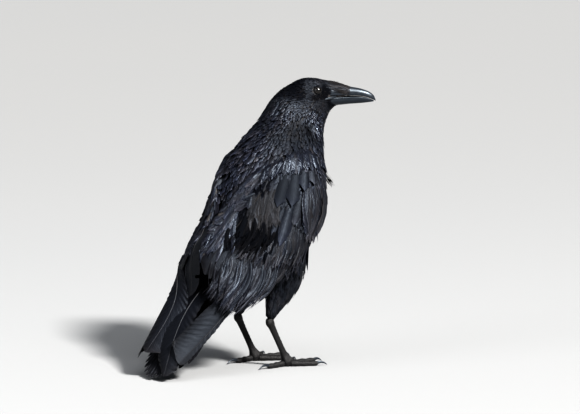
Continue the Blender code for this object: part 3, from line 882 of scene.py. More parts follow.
def tract(name, lines, count, width, lift, tone, brown, depth=3.0, spread=2.0, twist=0.0, curl=0.0, **style):
    """Feathers side by side: lines holds (root, tip) pairs that the tract runs through."""
    lines = np.array([[*root, *tip] for root, tip in lines], float)
    t = np.linspace(0, len(lines) - 1, count) + rng.uniform(-0.3, 0.3, count) * (len(lines) - 1) / count
    strayed = np.clip(rng.normal(0, spread, (count, 6)), -STRAY * spread, STRAY * spread)
    both = catmull(lines, t) + strayed
    start, end = onto_form(both[:, :3]), both[:, 3:]
    if not style.get("straight"):
        end = onto_form(end)
    shade = tints(rng.uniform(0.55, 1.45, count) * tone, np.clip(brown + rng.normal(0, 0.1, count), 0, 1))
    bent = curl + np.clip(rng.normal(0, 0.2 + 0.2 * abs(curl), count), -0.5, 0.5)
    way = unit(end - start)
    if not style.get("straight"):
        # a bent feather sets out to one side, so that its tip still ends in its place
        _, up = form.at(start)
        way = way * np.cos(bent / 2)[:, None] - np.cross(up, way) * np.sin(bent / 2)[:, None]
    long = np.linalg.norm(end - start, axis=1) * SLACK
    return vanes(
        name, start, way, long, varied(np.full(count, float(width)), 0.15), depth,
        np.abs(lift + rng.normal(0, 0.4, count)), shade, roll=rng.normal(0, 1, count) * twist, curl=bent,
        **{"follow": 0.0, **style},
    )


def mirrored_tract(name, lines, *sizes, **style):
    """The tract on both sides; lines holds the right one's (root, tip) pairs."""
    made = []
    for flip, suffix in ((1, "_right"), (-1, "_left")):
        flipped = [[(x, y * flip, z) for x, y, z in pair] for pair in lines]
        made += tract(name + suffix, flipped, *sizes, **style)
    return made


def chosen_feathers(name, feathers, **style):
    """Single feathers, each given as root, tip, half width, lift, tone, brown."""
    rows = np.array([[*root, *tip, *rest] for root, tip, *rest in feathers], float)
    start, end = onto_form(rows[:, :3]), onto_form(rows[:, 3:6])
    return vanes(
        name, start, end - start, np.linalg.norm(end - start, axis=1) * SLACK, rows[:, 6], 2.5, rows[:, 7],
        tints(rows[:, 8], rows[:, 9]), **{"follow": 0.0, "fray": 1.2, **style},
    )


# root and tip of the feathers that each tract runs through
SCAPULAR_EDGE = [
    ((-36, -42, 283), (-60, -35, 260)),
    ((-48, -34, 270), (-76, -28, 233)),
    ((-62, -28, 250), (-94, -22, 205)),
    ((-74, -24, 232), (-111, -20, 183)),
    ((-84, -20, 215), (-128, -16, 161)),
]
RAGGED_TIPS = [
    ((-80, 40, 204), (-112, 54, 145)),
    ((-88, 24, 206), (-120, 36, 144)),
    ((-94, 8, 206), (-127, 16, 142)),
    ((-96, -6, 206), (-131, -3, 146)),
    ((-93, -14, 204), (-129, -14, 156)),
]
BROWN_PATCH = [
    ((-34, -60, 260), (-50, -72, 212)),
    ((-42, -56, 256), (-60, -68, 204)),
    ((-50, -50, 252), (-70, -62, 202)),
    ((-55, -46, 246), (-76, -56, 208)),
]
# plumes in the hollow under the scapulars' edge, made nearly black: painted shade, where the hollow lies in
# shade
PAINTED_SHADE_HOLLOW = [
    ((-50, -54, 236), (-72, -66, 164)),
    ((-58, -48, 238), (-84, -60, 160)),
    ((-64, -42, 234), (-93, -52, 170)),
    ((-70, -38, 228), (-99, -42, 178)),
    ((-78, -33, 222), (-106, -36, 172)),
]
VENT_PLUMES = [
    ((-66, 0, 152), (-106, 8, 110)),
    ((-68, 14, 152), (-112, 22, 108)),
    ((-68, 26, 152), (-112, 34, 108)),
    ((-60, 36, 150), (-106, 44, 104)),
]
FRONT_GROUP = [
    ((6, -75, 268), (-11, -91, 196)),
    ((15, -75, 272), (-2, -89, 185)),
    ((25, -74, 272), (7, -89, 184)),
    ((35, -72, 270), (17, -86, 192)),
    ((44, -69, 264), (27, -82, 202)),
]
UPPER_FLANK = [
    ((-74, -54, 208), (-96, -56, 158)),
    ((-54, -70, 210), (-74, -74, 150)),
    ((-32, -82, 210), (-50, -84, 148)),
    ((-12, -87, 212), (-28, -82, 148)),
    ((6, -86, 208), (-8, -74, 146)),
]
FLANK_PLUMES = [
    ((-103, -33, 184), (-142, -38, 116)),
    ((-99, -40, 182), (-138, -45, 110)),
    ((-93, -46, 182), (-134, -54, 106)),
    ((-86, -52, 180), (-131, -61, 99)),
    ((-72, -66, 178), (-119, -68, 98)),
    ((-54, -78, 176), (-97, -72, 106)),
    ((-34, -84, 176), (-66, -72, 118)),
    ((-12, -82, 180), (-28, -68, 130)),
    ((10, -76, 184), (2, -60, 136)),
]
# the edge of the wing over the neck, and the row below it
SHOULDER = [
    ((-44, -43, 283), (-57, -47, 262)),
    ((-22, -53, 292), (-34, -60, 269)),
    ((2, -60, 297), (-9, -70, 273)),
    ((22, -60, 300), (11, -73, 275)),
    ((39, -56, 298), (31, -70, 274)),
    ((53, -46, 292), (46, -62, 270)),
]
BREAST_TUFT = [((72, -46, 268), (79, -52, 248)), ((76, -40, 266), (84, -43, 244))]
# large fresh coverts of the right wing: root, tip, half width, lift, tone, brown
FRESH_COVERTS = [
    ((-22, -68, 262), (-65, -62, 198), 9.0, 2.0, 1.0, 0.0),
    ((-16, -72, 258), (-58, -72, 189), 8.5, 1.6, 0.8, 0.0),
    ((2, -74, 264), (-28, -88, 206), 9.0, 2.0, 0.7, 0.1),
    ((-6, -71, 268), (-51, -81, 179), 12.5, 3.2, 1.1, 0.0),
    # painted shade: these two upper coverts lie in shade at the shoulder, and their low tones darken them
    ((-15, -62, 284), (-43, -69, 229), 9.5, 4.2, 0.35, 0.0),
    ((-2, -66, 288), (-27, -79, 229), 12.0, 5.2, 0.5, 0.0),
    ((11, -68, 287), (-7, -81, 248), 9.0, 5.6, 0.8, 0.0),
    ((22, -66, 285), (10, -80, 254), 7.5, 5.0, 0.9, 0.1),
]

PLUMED = {"shape": PLUME, "rise": 0.6, "tuck": 0.4}
HANGING_LOCKS = {
    "depth": 4, "spread": 4.5, "twist": 0.4, "straight": True, "cols": 7, "ragged": 0.1, "streak": 0.25,
    "fray": 0.6, "shape": LOCK, "rise": 0.6, "tuck": 0.4, "edge": 2.0,
}
SCALED = {"rows": 12, "cols": 9, "shape": SCALE, "camber": 0.4, "rise": 0.7}
pieces += tract(
    "flank_plumes", FLANK_PLUMES, 450, 3.2, 3.5, 1.8, 0.1, curl=0.6, rows=16, camber=0.8, **HANGING_LOCKS,
)
pieces += tract(
    "upper_flank_plumes", UPPER_FLANK, 190, 3.6, 2.4, 1.5, 0.15, curl=0.4, rows=14, camber=0.7,
    **HANGING_LOCKS,
)
# painted shade: tone 0.12 makes these plumes in the hollow nearly black
pieces += tract(
    "dark_hollow", PAINTED_SHADE_HOLLOW, 130, 3.4, 1.8, 0.12, 0.1, depth=3, spread=6, curl=0.7, twist=0.35,
    straight=True, rows=12, cols=7, ragged=0.18, streak=0.4, camber=0.35, fray=0.4, **PLUMED,
)
pieces += tract(
    "brown_patch", BROWN_PATCH, 120, 3.8, 2.4, 0.75, 0.42, depth=3, spread=6, curl=0.4, twist=0.3,
    rows=12, cols=7, ragged=0.14, streak=0.3, camber=0.3, fray=0.5, **PLUMED,
)
pieces += tract(
    "vent_plumes", VENT_PLUMES, 70, 5.0, 6.0, 1.1, 0.1, depth=3, spread=4, twist=0.3, straight=True,
    rows=12, cols=7, ragged=0.15, streak=0.3, camber=0.35, fray=0.5, **PLUMED,
)
pieces += tract(
    "front_group", FRONT_GROUP, 54, 5.6, 3.0, 1.5, 0.12, depth=3, spread=4, twist=0.3, straight=True,
    rows=16, cols=12, ragged=0.05, streak=0.2, camber=0.4, fray=0.8, edge=2.5, **PLUMED,
)
pieces += chosen_feathers(
    "fresh_coverts", FRESH_COVERTS, rows=30, cols=18, shape=COVERT, ragged=0.01, streak=0.1, edge=4.0,
    camber=0.4, rise=0.7, lean=0.5, tuck=0.8,
)
pieces += mirrored_tract(
    "scapulars", SCAPULAR_EDGE, 84, 5.2, 3.6, 1.4, 0.04, depth=2, spread=4, twist=0.2, ragged=0.06,
    streak=0.12, fray=0.8, tuck=0.8, edge=4.0, **SCALED,
)
pieces += tract(
    "ragged_scapulars", RAGGED_TIPS, 80, 5.2, 1.8, 1.3, 0.05, depth=3, spread=3.5, twist=0.25, straight=True,
    ragged=0.08, streak=0.2, fray=0.7, edge=3.0, **SCALED,
)
pieces += mirrored_tract(
    "shoulder_coverts", SHOULDER, 74, 4.4, 2.6, 1.9, 0.0, depth=1.5, spread=3, twist=0.2, rows=10, cols=8,
    shape=SCALE, ragged=0.05, streak=0.1, camber=0.4, rise=0.5, fray=0.9, tuck=0.5, edge=1.0,
)
pieces += tract(
    "breast_tuft", BREAST_TUFT, 12, 1.8, 1.0, 0.8, 0.1, depth=2, spread=2, curl=0.6, straight=True,
    rows=10, cols=4, shape=HAIR, ragged=0.2, streak=0.3,
)


# ---------------------------------------------------------------- wings and tail

# Across the folded left wing: its edge over the back, its middle, its edge over the flank. The rows
# run down from the shoulder to the wing tip; the right wing lies lower against the tail.
WING_ROWS = [
    ((3, 53, 303), (34, 65, 292), (51, 58, 279)),
    ((-23, 56, 290), (22, 77, 268), (57, 57, 256)),
    ((-64, 29, 263), (-3, 88, 234), (49, 65, 217)),
    ((-92, 9, 222), (-36, 85, 194), (18, 74, 178)),
    ((-114, 4, 193), (-72, 74, 161), (-20, 70, 144)),
    ((-132, 9, 163), (-104, 58, 134), (-72, 56, 112)),
]
LEFT_TIP = [
    ((-150, 6, 99), (-151, 40, 95), (-143, 57, 57)),
    ((-205, 18, 34), (-204, 34, 31), (-198, 44, 18)),
]
RIGHT_TIP = [
    ((-153, 18, 99), (-144, 40, 87), (-129, 49, 70)),
    ((-203, 24, 38), (-200, 30, 33), (-195, 37, 24)),
]
TAIL_ROOT = np.array([-50.0, 0.0, 146.0])
TAIL_LENGTH = 218.0
TAIL_PITCH = math.radians(41.8)
TAIL_DROOP = 6.0
TAIL_BACK = np.array([-math.cos(TAIL_PITCH), 0, -math.sin(TAIL_PITCH)])
TAIL_UP = np.array([-math.sin(TAIL_PITCH), 0, math.cos(TAIL_PITCH)])
TAIL_HALF = [(0, 20), (0.2, 30), (0.45, 42), (0.7, 53), (0.84, 57), (1, 60)]
TAIL_THICK = [(0, 14), (0.2, 12), (0.45, 9), (0.7, 6), (0.84, 4.5), (1, 2.6)]


class Sheet:
    """A surface that feathers lie on: `a` runs along it, `v` across it. Its normal points up or out."""

    EDGE = 0.02  # how far apart the places are that slopes are measured between, to either side
    turn = 1.0

    def turned_to(self, a, axis, sign):
        """Point the normal so that at the sheet's middle it has this sign along an axis."""
        middle = self.normal(np.array([a]), np.array([0.5]))[0]
        self.turn = 1.0 if middle[axis] * sign > 0 else -1.0

    def widths(self, a):
        """How many millimetres one of `v` is, at `a`."""
        v = np.full_like(a, 0.5)
        apart = self.point(a, v + self.EDGE) - self.point(a, v - self.EDGE)
        return np.linalg.norm(apart, axis=-1) / (2 * self.EDGE)

    def lengths(self, a, v):
        """How many millimetres one of `a` is, at `a`."""
        apart = self.point(a + self.EDGE, v) - self.point(a - self.EDGE, v)
        return np.linalg.norm(apart, axis=-1) / (2 * self.EDGE)

    def normal(self, a, v):
        along = self.point(a + self.EDGE, v) - self.point(a - self.EDGE, v)
        across = self.point(a, v + self.EDGE) - self.point(a, v - self.EDGE)
        return unit(np.cross(along, across)) * self.turn


class WingSheet(Sheet):
    def __init__(self, side):
        tip = LEFT_TIP if side > 0 else RIGHT_TIP
        self.rows = np.array([np.ravel(row) for row in WING_ROWS + tip], float)
        self.side = np.array([1.0, side, 1.0])
        self.turned_to(3.0, 1, side)

    def point(self, a, v):
        row = catmull(self.rows, a)
        back, middle, flank = row[..., :3], row[..., 3:6], row[..., 6:]
        control = 2 * middle - (back + flank) / 2
        v = v[..., None]
        return (back * (1 - v) ** 2 + control * (2 * v * (1 - v)) + flank * v**2) * self.side


class TailSheet(Sheet):
    """`v` is 0 at the tail's right edge and 1 at its left."""

    def __init__(self):
        self.turned_to(0.5, 2, 1)

    def point(self, a, v):
        across = 2 * v - 1
        half = np.interp(a, *zip(*TAIL_HALF))
        hang = TAIL_DROOP * across**2 * np.minimum(1.0, 2 * a)
        top = np.interp(a, *zip(*TAIL_THICK)) * (1 - 0.6 * np.minimum(across**2, 1)) / 2
        place = TAIL_ROOT + TAIL_BACK * (TAIL_LENGTH * a)[..., None] + TAIL_UP * (top - hang)[..., None]
        place[..., 1] += half * across
        return place


def quill_spec(start, end, webs, lifts, tone, brown, ripple):
    """A quill's row of numbers: where it starts and ends (a, v), the half widths of its webs towards
    low and high v, its lift at root and tip, its tone, its brown and how far its webs ripple."""
    return (*start, *end, *webs, *lifts, tone, brown, ripple)


def web_ripples(count, x, t, waves):
    """Ripples that slant back across the webs, no two feathers' alike."""
    phase = rng.uniform(0, 6.28, (count, 1, 1))
    uneven = 2.5 * np.sin(phase * 2.3 + t * 11)
    wave = np.sin(phase + t * waves + uneven - np.abs(x) * (1.5 + waves / 60))
    swell = 0.6 + 0.4 * np.sin(phase * 3.1 + t * 14)
    slow = np.sin(phase * 1.7 + t * 9 - np.abs(x) * 0.8)
    return 0.6 * wave * swell + 0.6 * slow


def quills(
    name, sheet, specs, rows=44, outer=4, inner=6, shaft_sides=5, shape=QUILL, tip_wear=0.5, waves=34,
    edge_power=1, arch=0.0, tears=True,
):
    """Long feathers with shafts, each given by a quill_spec. `waves` sets how closely their webs
    ripple, and `arch` how high they bow off the sheet."""
    specs = np.array(specs, float)
    count = len(specs)
    a0, v0, a1, v1, low, high, lift0, lift1, tone, brown, ripple = specs.T
    s = np.linspace(0, 1, rows + 1)
    columns = np.concatenate([-np.linspace(1, 0, outer + 1)[:-1], np.linspace(0, 1, inner + 1)])
    x = columns[None, None, :]
    t = s[None, :, None]
    bow = rng.normal(0, 0.012, count)
    a = a0[:, None] + (a1 - a0)[:, None] * s
    v = v0[:, None] + (v1 - v0)[:, None] * s + bow[:, None] * np.sin(math.pi * s)
    full = np.interp(s, *zip(*shape))[None, :, None]
    half = np.where(x < 0, low[:, None, None], high[:, None, None]) * full
    nick = rng.normal(0, 1.0, (count, rows + 1, 1)) * np.abs(x) ** 3
    grow = sheet.lengths(a, v)
    forward = 0.55 * np.abs(x) * half * (1 - t**6) + nick * 0.5 - 0.9 * x**2 * half * t**8
    grid_a = a[:, :, None] + forward / grow[:, :, None]
    grid_v = v[:, :, None] + x * half / sheet.widths(a)[:, :, None]
    point, up = sheet.point(grid_a, grid_v), sheet.normal(grid_a, grid_v)
    lift = (lift0[:, None] + (lift1 - lift0)[:, None] * s)[:, :, None]
    lift = lift + arch * np.sin(math.pi * s)[None, :, None] - 0.10 * x**2 * half
    lift = lift + ripple[:, None, None] * np.abs(x) ** edge_power * web_ripples(count, x, t, waves)
    lift = lift + rng.normal(0, 0.06, grid_a.shape) * np.abs(x)
    grid = point + up * lift[..., None]
    shade = tints(tone, brown)[:, None, None, :]
    worn = tints(tone * 1.1, np.clip(brown + tip_wear, 0, 1))[:, None, None, :]
    wear = (np.clip(np.abs(x) ** 4 * 0.2 + t**10 * 0.4, 0, 1) * np.ones((count, 1, 1)))[..., None]
    colour = shade * (1 - wear) + worn * wear
    drop = torn_quads(count, rows, len(columns) - 1) if tears else None
    reach = (t * (np.abs(a1 - a0)[:, None, None] * grow.mean()) - np.abs(x) * half * 0.7) / VANE_UNIT
    uv = np.stack([x * half / VANE_UNIT, np.broadcast_to(reach, grid.shape[:3])], -1)
    bake = skin_map.at(sheet.point(a0, v0))
    vane = feather_object(name, grid, uv, colour, bake, drop)
    shafts = quill_shafts(name + "_shafts", sheet, specs, a, v, s, bake, shaft_sides, lift[:, :, outer])
    return [vane, shafts]


def torn_quads(count, rows, cols):
    """Quads left out along the edges of the webs, where the barbs have parted."""
    drop = np.zeros((count, rows, cols), bool)
    for feather in range(count):
        for _ in range(rng.integers(2, 6)):
            row = rng.integers(rows // 4, rows - 2)
            deep = rng.integers(1, 3)
            if rng.random() < 0.5:
                drop[feather, row, :deep] = True
            else:
                drop[feather, row, cols - deep :] = True
    return drop


# colours of a shaft, each with its roughness as the fourth number
SHAFT_ROOT = np.array([0.022, 0.020, 0.0185, 0.4])
SHAFT_TIP = np.array([0.014, 0.013, 0.014, 0.4])


def quill_shafts(name, sheet, specs, a, v, s, bake, sides, lift):
    """The shafts of the quills, thin tapered tubes half sunk in their webs."""
    point, up = sheet.point(a, v), sheet.normal(a, v)
    ahead = unit(np.gradient(point, axis=1))
    across = np.cross(up, ahead)
    size = np.clip((specs[:, 4] + specs[:, 5]) / 22, 0.5, 1.1)
    radius = size[:, None] * (0.95 * (1 - s) ** 0.8 + 0.14)
    turn = np.linspace(0, 2 * math.pi, sides + 1)
    sine, cosine = np.sin(turn)[None, None, :, None], np.cos(turn)[None, None, :, None]
    ring = across[:, :, None] * sine + up[:, :, None] * cosine
    raised = lift + 0.25 * radius
    grid = (point + up * raised[..., None])[:, :, None] + ring * radius[:, :, None, None]
    grid = grid[:, :, ::-1]
    along = (s * 20)[None, :, None] * np.ones((len(a), 1, 1))
    uv = np.stack(np.broadcast_arrays(turn[None, None] / 20, along), -1)
    share = (0.75 * (1 - s) + 0.15)[None, :, None, None]
    colour = np.broadcast_to(SHAFT_ROOT * share + SHAFT_TIP * (1 - share), (*grid.shape[:3], 4))
    return feather_object(name, grid, uv, colour, bake)


# how far along the wing each primary reaches, from the inner ones to the outermost
PRIMARY_REACH = [5.8, 6.05, 6.3, 6.5, 6.7, 6.85, 6.96, 6.98, 6.75]
SECONDARIES = 12
# the broad feathers that lie on top: a primary of each wing, and between them one that crosses the tail
BROAD_LEFT = quill_spec((4.6, 0.36), (6.97, -0.04), (19.0, 15.0), (3.4, 2.0), 1.3, 0.04, 1.2)
BROAD_RIGHT = quill_spec((4.7, 0.68), (6.97, 1.02), (27.0, 5.0), (0.0, 4.0), 0.65, 0.08, 1.8)
CROSSING = quill_spec((0.12, 0.50), (0.965, 0.28), (17.0, 22.0), (9.0, 4.0), 1.0, 0.02, 1.7)
BROAD = {
    "rows": 150, "outer": 18, "inner": 18, "shaft_sides": 8, "shape": BLUNT, "tip_wear": 0.7, "waves": 130,
    "edge_power": 1.3, "tears": False,
}


def wing_quills(side, suffix):
    """Primaries, and secondaries over their roots, the tertials on top along the back."""
    sheet = WingSheet(side)
    right = side < 0
    last = len(PRIMARY_REACH) - 1
    specs = []
    for k, reach in enumerate(PRIMARY_REACH):
        share = k / last
        v0 = 0.45 + 0.42 * share if right else 0.02 + 0.90 * share
        v1 = 0.62 + 0.32 * share if right else -0.12 + 0.98 * share
        webs, lifts = (11.0, 5.5 - 1.5 * share), (-1.0 - 0.2 * k, 1.2 - 0.4 * k)
        specs.append(quill_spec((3.6, v0), (reach, v1), webs, lifts, 0.95, 0.05, 0.2))
    made = quills("primary_quills" + suffix, sheet, specs[::-1])
    made += quills("broad_primary_quill" + suffix, sheet, [BROAD_RIGHT if right else BROAD_LEFT], **BROAD)
    # the right wing's secondaries lie deeper, under the plumes that hang over them
    sink = 3.0 if right else 0.0
    specs = []
    for k in range(SECONDARIES):
        share = k / (SECONDARIES - 1)
        low = sink if share > 0.25 else 0.5 * sink
        reach = 5.25 + 0.25 * math.sin(math.pi * (0.1 + 0.8 * share)) - 0.35 * share
        start, end = (2.2, 0.13 + 0.73 * share), (reach, 0.11 + 0.77 * share)
        lifts = (1.0 - 0.15 * k - low, 2.8 - 0.22 * k - low)
        specs.append(quill_spec(start, end, (11.0, 7.5), lifts, 1.0, 0.06, 0.25))
    made += quills("secondary_quills" + suffix, sheet, specs[::-1])
    return made


def covert_rows(side, suffix):
    """The rows of coverts over the roots of the flight feathers, and the small ones above them."""
    sheet = WingSheet(side)
    made = []
    rows = [
        ("greater", 13, 2.0, 0.10, 0.92, 50, 8.0, 2.4, 16, 10),
        ("median", 13, 1.55, 0.12, 0.90, 34, 7.0, 2.2, 10, 8),
        ("lesser_c", 14, 1.2, 0.12, 0.90, 27, 6.0, 1.9, 8, 6),
        ("lesser_b", 14, 0.85, 0.10, 0.90, 24, 5.4, 1.6, 8, 6),
        ("lesser_a", 13, 0.5, 0.10, 0.90, 22, 5.0, 1.3, 8, 6),
    ]
    for label, count, a, v0, v1, length, half, lift, lines, columns in rows:
        v = np.linspace(v0, v1, count) + rng.normal(0, 0.006, count)
        here = np.full(count, a) + rng.normal(0, 0.02, count)
        start = sheet.point(here, v)
        way = sheet.point(here + 0.3, v - 0.008) - start
        shade = tints(rng.uniform(0.5, 1.0, count), np.clip(rng.normal(0.06, 0.05, count), 0, 1))
        made += vanes(
            f"{label}_coverts{suffix}", start, way, varied(np.full(count, float(length)), 0.05),
            np.full(count, half), 1.5, lift, shade, rows=lines, cols=columns, follow=0.0,
            ragged=0.03, streak=0.1, camber=0.12, rise=0.5,
        )
    return made


def tail_quills():
    """Twelve feathers, the middle pair on top, each pair below reaching less far; and the crossing one."""
    sheet = TailSheet()
    specs = []
    for k in range(5, -1, -1):
        for side in (-1, 1):
            share = (k + 0.35) / 5.6
            across = 0.5 + side * 0.5 * share * 0.80
            reach = 0.985 - 0.17 * (k / 5) ** 1.6
            webs = (13.5, 7.5) if side > 0 else (7.5, 13.5)  # the narrow web is on the outer side
            if k == 0:
                webs = (12.0, 12.0)
            start, end = (0.02, 0.5 + (across - 0.5) * 0.5), (reach, across)
            specs.append(quill_spec(start, end, webs, (1.0 - 1.2 * k, 0.6 - 0.62 * k), 1.0, 0.06, 0.45))
    made = quills("tail_quills", sheet, specs, rows=52, outer=6, inner=6)
    return made + quills("crossing_quill", sheet, [CROSSING], arch=17.0, **BROAD)


def tail_coverts():
    """Long coverts over the root of the tail, above and below it."""
    sheet = TailSheet()
    made = []
    for name, lift, turn in (("tail_coverts_upper", 9.0, 1.0), ("tail_coverts_under", -11.0, -1.0)):
        specs = []
        for row in range(3):
            for k in range(9):
                v = 0.5 + (k - 4) / 4 * (0.50 - 0.04 * row) + rng.normal(0, 0.02)
                start = (-0.12 + 0.07 * row, 0.5 + (v - 0.5) * 0.9)
                end = (0.24 + 0.13 * row + rng.normal(0, 0.035), v)
                lifts = (turn * 3.0 + lift - turn * 1.2 * row, lift * 0.55 - turn * 1.0 * row)
                specs.append(quill_spec(start, end, (9.0, 9.0), lifts, 0.7, 0.06, 0.3))
        made += quills(name, sheet, specs[::-1], rows=18)
    return made


def rump_cover(side, suffix, count, high_v):
    """The lowest scapulars, which run over the wing's back edge and the roots of the quills."""
    sheet = WingSheet(side)
    a, v = rng.uniform(2.2, 4.55, count), rng.uniform(-0.04, high_v, count)
    start = sheet.point(a, v)
    way = sheet.point(a + 0.3, v - 0.03 + rng.normal(0, 0.02, count)) - start
    shade = tints(rng.uniform(0.9, 2.4, count), rng.uniform(0, 0.12, count))
    return vanes(
        "rump_cover" + suffix, start, way, rng.uniform(20, 30, count), rng.uniform(3.6, 5.0, count), 1.0,
        3.8 + rng.uniform(-0.5, 0.5, count), shade, rows=12, cols=9, shape=SCALE, follow=0.0,
        ragged=0.06, streak=0.12, camber=0.45, rise=0.8, fray=0.8, tuck=0.8, edge=4.0,
    )


pieces += covert_rows(1, "_left")
pieces += wing_quills(1, "_left")
pieces += wing_quills(-1, "_right")
pieces += tail_quills()
pieces += tail_coverts()
pieces += rump_cover(1, "_left", 170, 0.40)
pieces += rump_cover(-1, "_right", 80, 0.11)


# ---------------------------------------------------------------- bill

# forward of the eye line, height of the culmen, of the cutting edge, half width
UPPER_BILL = [
    (10, 2.4, -15.0, 12.5),
    (16, 2.8, -14.2, 13.9),
    (21, 3.0, -13.6, 14.3),
    (27, 2.6, -12.9, 12.4),
    (34, 1.6, -12.6, 10.2),
    (46, -0.2, -12.5, 7.8),
    (60, -2.7, -12.9, 6.0),
    (70, -6.0, -14.8, 4.5),
    (76, -9.4, -17.2, 3.2),
    (79.5, -13.2, -18.7, 2.0),
    (81, -16.6, -19.4, 1.1),
    (81.6, -18.4, -19.8, 0.5),
]
# forward of the eye line, height of the cutting edge, of the underside, half width
LOWER_BILL = [
    (10, -15.6, -27.0, 12.0),
    (16, -14.8, -26.8, 13.4),
    (21, -14.2, -26.4, 13.2),
    (27, -13.5, -25.8, 11.4),
    (34, -13.2, -25.2, 9.4),
    (46, -13.1, -24.0, 7.0),
    (60, -13.5, -23.0, 5.2),
    (69, -15.1, -22.1, 3.4),
    (75, -17.3, -21.3, 2.0),
    (79, -19.2, -20.5, 0.6),
]


def ring_object(name, grid, closed=True):
    """A piece through rings of points (ring, place on it); a closed one has fans over its ends."""
    rings, around = grid.shape[:2]
    index = np.arange(rings * around).reshape(rings, around)
    after = np.roll(index, -1, axis=1)
    quads = np.stack([index[:-1], after[:-1], after[1:], index[1:]], -1).reshape(-1, 4)
    obj = mesh_object(name, grid.reshape(-1, 3), quads)
    with editing(obj.data) as bm:
        ends = (0, rings - 1) if closed else ()
        for loop in [[bm.verts[i] for i in index[ring]] for ring in ends]:
            centre = bm.verts.new(sum((v.co for v in loop), Vector()) / around)
            for a, b in zip(loop, loop[1:] + loop[:1]):
                bm.faces.new((a, b, centre)).smooth = True
        bmesh.ops.recalc_face_normals(bm, faces=bm.faces)
    return obj


def bill_half(name, rows, arch_up, rings=90, around=48):
    """One half of the bill: arched on its outer side, nearly flat where it meets the other."""
    table = resampled(rows, rings)
    turn = circle(around)
    across, rise = np.sin(turn), np.cos(turn)
    rise = rise if arch_up else -rise
    grid = []
    for along, top, bottom, half in table:
        arch, edge = (top, bottom) if arch_up else (bottom, top)
        up, down = np.clip(rise, 0, 1), np.clip(-rise, 0, 1)
        outer = edge + (arch - edge) * (0.16 + 0.84 * up**0.85)
        inner = edge + (arch - edge) * 0.16 * (1 - down) ** 0.8
        height = np.where(rise > 0, outer, inner)
        power = np.where(rise > 0, 0.9, 0.6)
        width = half * np.sign(across) * np.abs(across) ** power
        # a shallow groove above the cutting edge
        level = (height - edge) / (arch - edge)
        groove = np.exp(-((level - 0.30) / 0.07) ** 2) * np.clip((66 - along) / 30, 0, 1) * 0.45
        width = width * (1 - groove / max(half, 1))
        grid.append(head_at(along, height, width * 0.995))
    return ring_object(name, np.array(grid))


upper_bill = bill_half("upper_bill_horn", UPPER_BILL, True)
lower_bill = bill_half("lower_bill_horn", LOWER_BILL, False)


def gape_rim(side, suffix):
    """The soft rim at the corner of the mouth, an upper and a lower lip that meet under the eye."""
    share = np.linspace(0, 1, 40)
    grid = []
    for high in (0.9, -0.9):
        along = 8.5 + 21 * share
        height = -15.6 + 1.9 * share + high * share**0.5
        spine = onto_form(head_at(along, height, side * 15.0))
        _, up = form.at(spine)
        ahead = unit(np.gradient(spine, axis=0))
        across = np.cross(up, ahead)
        radius = 0.95 * np.sin(np.pi * (0.06 + 0.88 * share)) ** 0.6
        turn = circle(12)
        grid.append(
            spine[:, None]
            + across[:, None] * (radius[:, None] * np.sin(turn))[..., None]
            + up[:, None] * (0.1 + radius[:, None] * 0.8 * np.cos(turn))[..., None]
        )
    return [ring_object(f"gape_{label}{suffix}", lip) for label, lip in zip(("upper", "lower"), grid)]


gapes = gape_rim(1, "_left") + gape_rim(-1, "_right")


# ---------------------------------------------------------------- eyes


def around_axis(axis):
    """Two directions square to an axis: up, and the way the bill points."""
    up = unit(UPWARD - axis * (axis @ UPWARD))
    return up, np.cross(up, axis)


PUPIL = np.array([0.002, 0.002, 0.003])
IRIS = np.array([0.0045, 0.003, 0.0022])
# across from the eye's axis, and out from the eyeball: from under the rim of the lid, over it, and out
# under the feathers
LID_PROFILE = [
    (4.25, -0.9), (4.3, 0.1), (4.55, 0.55), (4.95, 0.62), (5.35, 0.35), (5.9, 0.15), (6.9, -0.5), (8.2, -2.0),
]
EYE_AROUND = 48  # points round an eye


def build_eye(side, suffix):
    """An eyeball with its raised cornea, and the bare lid round it."""
    axis, centre = eye_axis(side), eye_centre(side)
    up, front = around_axis(axis)
    angles = np.concatenate([np.linspace(0, 60, 40), np.linspace(64, 180, 20)])
    turn = circle(EYE_AROUND)
    rings = []
    colours = []
    for degrees in angles[1:-1]:
        t = math.radians(degrees)
        radius = EYE_RADIUS * 0.985 + 0.45 * max(0.0, 1 - (degrees / 36) ** 2)
        around = up * np.cos(turn)[:, None] + front * np.sin(turn)[:, None]
        rings.append(centre + axis * (radius * math.cos(t)) + around * (radius * math.sin(t)))
        iris = smoothstep(14.5, 17.0, degrees) * (1 - smoothstep(33, 36, degrees))
        colours.append(PUPIL * (1 - iris) + IRIS * iris)
    ball = ring_object("eyeball" + suffix, np.array(rings))
    shade = np.concatenate([np.repeat(colours, EYE_AROUND, axis=0), [colours[0], colours[-1]]])
    shade = np.concatenate([shade, np.full((len(shade), 1), 0.1)], 1)
    set_colour(ball, shade)
    reach = resampled(LID_PROFILE, 36)
    grid = []
    for number, (wide, high) in enumerate(reach):
        base = math.sqrt(max(EYE_RADIUS**2 - min(wide, 6.4) ** 2, 0.0))
        bead = 0.10 * np.sin(turn * 24 + number * 0.9) * math.exp(-((wide - 5.1) / 0.6) ** 2)
        tall = 0.90 - 0.05 * np.cos(turn)
        grid.append(
            centre
            + axis * (base + high + bead)[:, None]
            + up * (wide * np.cos(turn) * tall)[:, None]
            + front * (wide * np.sin(turn) * 1.04)[:, None]
        )
    lid = ring_object("eyelid" + suffix, np.array(grid), closed=False)
    return ball, lid


eyes, lids = [], []
for side, suffix in SIDES:
    ball, lid = build_eye(side, suffix)
    eyes.append((ball, suffix))
    lids.append(lid)


# ---------------------------------------------------------------- legs

LEG_OFFSET = 33.0
ANKLE = np.array([-24.0, 0.0, 64.0])
FOOT = np.array([7.0, 0.0, 8.0])
